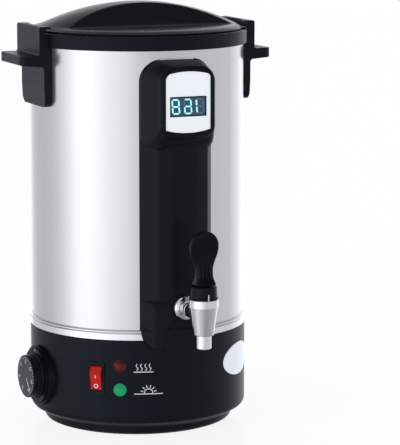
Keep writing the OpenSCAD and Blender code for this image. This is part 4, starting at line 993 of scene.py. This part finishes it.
def studio_light():
    """A plain pale room: its walls' brightness goes round the object, and cameras see it near white."""
    world = bpy.data.worlds.new("studio")
    bpy.context.scene.world = world
    world.use_nodes = True
    tree = world.node_tree
    tree.nodes.clear()
    way = tree.nodes.new("ShaderNodeTexCoord").outputs["Generated"]
    split = tree.nodes.new("ShaderNodeSeparateXYZ")
    tree.links.new(way, split.inputs[0])
    ahead = math_node(tree, "MULTIPLY", split.outputs["Y"], -1.0)
    side = math_node(tree, "ARCTAN2", split.outputs["X"], ahead)
    turn = math_node(tree, "MULTIPLY_ADD", side, 0.5 / math.pi, 0.5)
    walls = tree.nodes.new("ShaderNodeValToRGB")
    tree.links.new(turn, walls.inputs["Fac"])
    # (degrees round from the front towards +X, brightness)
    stops = ((-180, 0.75), (-165, 0.52), (-145, 0.48), (-125, 0.52), (-112, 0.64), (-100, 0.83), (-88, 1.12),
             (-70, 1.1), (-50, 0.9), (-30, 0.77), (-20, 0.62), (0, 0.5), (60, 0.52), (95, 0.55), (110, 0.7),
             (125, 0.92), (140, 1.05), (179, 0.9))
    ramp = walls.color_ramp
    while len(ramp.elements) < len(stops):
        ramp.elements.new(0.5)
    for element, (degrees, light) in zip(ramp.elements, stops):
        element.position = degrees / 360 + 0.5
        light *= WALL_LIGHT
        element.color = (*(light * tint for tint in WALL_TINT), 1)
    ceiling = tree.nodes.new("ShaderNodeMapRange")
    for label, value in (("From Min", 0.2), ("From Max", 0.5), ("To Min", 1.0), ("To Max", CEILING_LIGHT)):
        ceiling.inputs[label].default_value = value
    tree.links.new(math_node(tree, "ABSOLUTE", split.outputs["Z"]), ceiling.inputs["Value"])
    room = tree.nodes.new("ShaderNodeBackground")
    tree.links.new(walls.outputs["Color"], room.inputs["Color"])
    tree.links.new(ceiling.outputs["Result"], room.inputs["Strength"])
    backdrop = tree.nodes.new("ShaderNodeBackground")
    backdrop.inputs["Color"].default_value = (1, 1, 1, 1)
    backdrop.inputs["Strength"].default_value = 1.0
    seen = tree.nodes.new("ShaderNodeLightPath").outputs["Is Camera Ray"]
    mix = tree.nodes.new("ShaderNodeMixShader")
    tree.links.new(seen, mix.inputs["Fac"])
    tree.links.new(room.outputs[0], mix.inputs[1])
    tree.links.new(backdrop.outputs[0], mix.inputs[2])
    out = tree.nodes.new("ShaderNodeOutputWorld")
    tree.links.new(mix.outputs[0], out.inputs["Surface"])


def pale_floor():
    """A wide pale floor that fades into the backdrop."""
    mesh = bpy.data.meshes.new("floor")
    corners = ((-1, -1), (1, -1), (1, 1), (-1, 1))
    mesh.from_pydata([(x * FLOOR_HALF, y * FLOOR_HALF, 0) for x, y in corners], [], [(0, 1, 2, 3)])
    floor = bpy.data.objects.new("floor", mesh)
    bpy.context.scene.collection.objects.link(floor)
    paper = bpy.data.materials.new("pale_paper")
    paper.use_nodes = True
    tree = paper.node_tree
    tree.nodes.clear()
    glow = tree.nodes.new("ShaderNodeEmission")
    glow.inputs["Color"].default_value = (FLOOR_GLOW, FLOOR_GLOW, FLOOR_GLOW, 1)
    lit = tree.nodes.new("ShaderNodeBsdfDiffuse")
    lit.inputs["Color"].default_value = (0.9, 0.9, 0.9, 1)
    mix = tree.nodes.new("ShaderNodeMixShader")
    mix.inputs["Fac"].default_value = FLOOR_SHADE
    tree.links.new(glow.outputs[0], mix.inputs[1])
    tree.links.new(lit.outputs[0], mix.inputs[2])
    sheen = tree.nodes.new("ShaderNodeBsdfGlossy")
    sheen.inputs["Roughness"].default_value = 0.18
    both = tree.nodes.new("ShaderNodeMixShader")
    both.inputs["Fac"].default_value = FLOOR_GLOSS
    tree.links.new(mix.outputs[0], both.inputs[1])
    tree.links.new(sheen.outputs[0], both.inputs[2])
    tree.links.new(both.outputs[0], tree.nodes.new("ShaderNodeOutputMaterial").inputs["Surface"])
    mesh.materials.append(paper)
    floor.visible_glossy = False


def photo_camera():
    """The photograph's view: from the left of the front, a little above."""
    lens = bpy.data.cameras.new("photo_view")
    lens.sensor_fit = "HORIZONTAL"
    lens.sensor_width = 36.0
    lens.lens = 216.7
    lens.clip_start = 0.05
    camera = bpy.data.objects.new("photo_view", lens)
    camera.location = (-0.9055, -2.3, 0.6)
    camera.rotation_euler = Vector((0.3858, 0.9089, -0.1585)).to_track_quat("-Z", "Y").to_euler()
    bpy.context.scene.collection.objects.link(camera)
    bpy.context.scene.camera = camera


studio_light()
pale_floor()
photo_camera()
bpy.context.scene.view_settings.view_transform = "Standard"
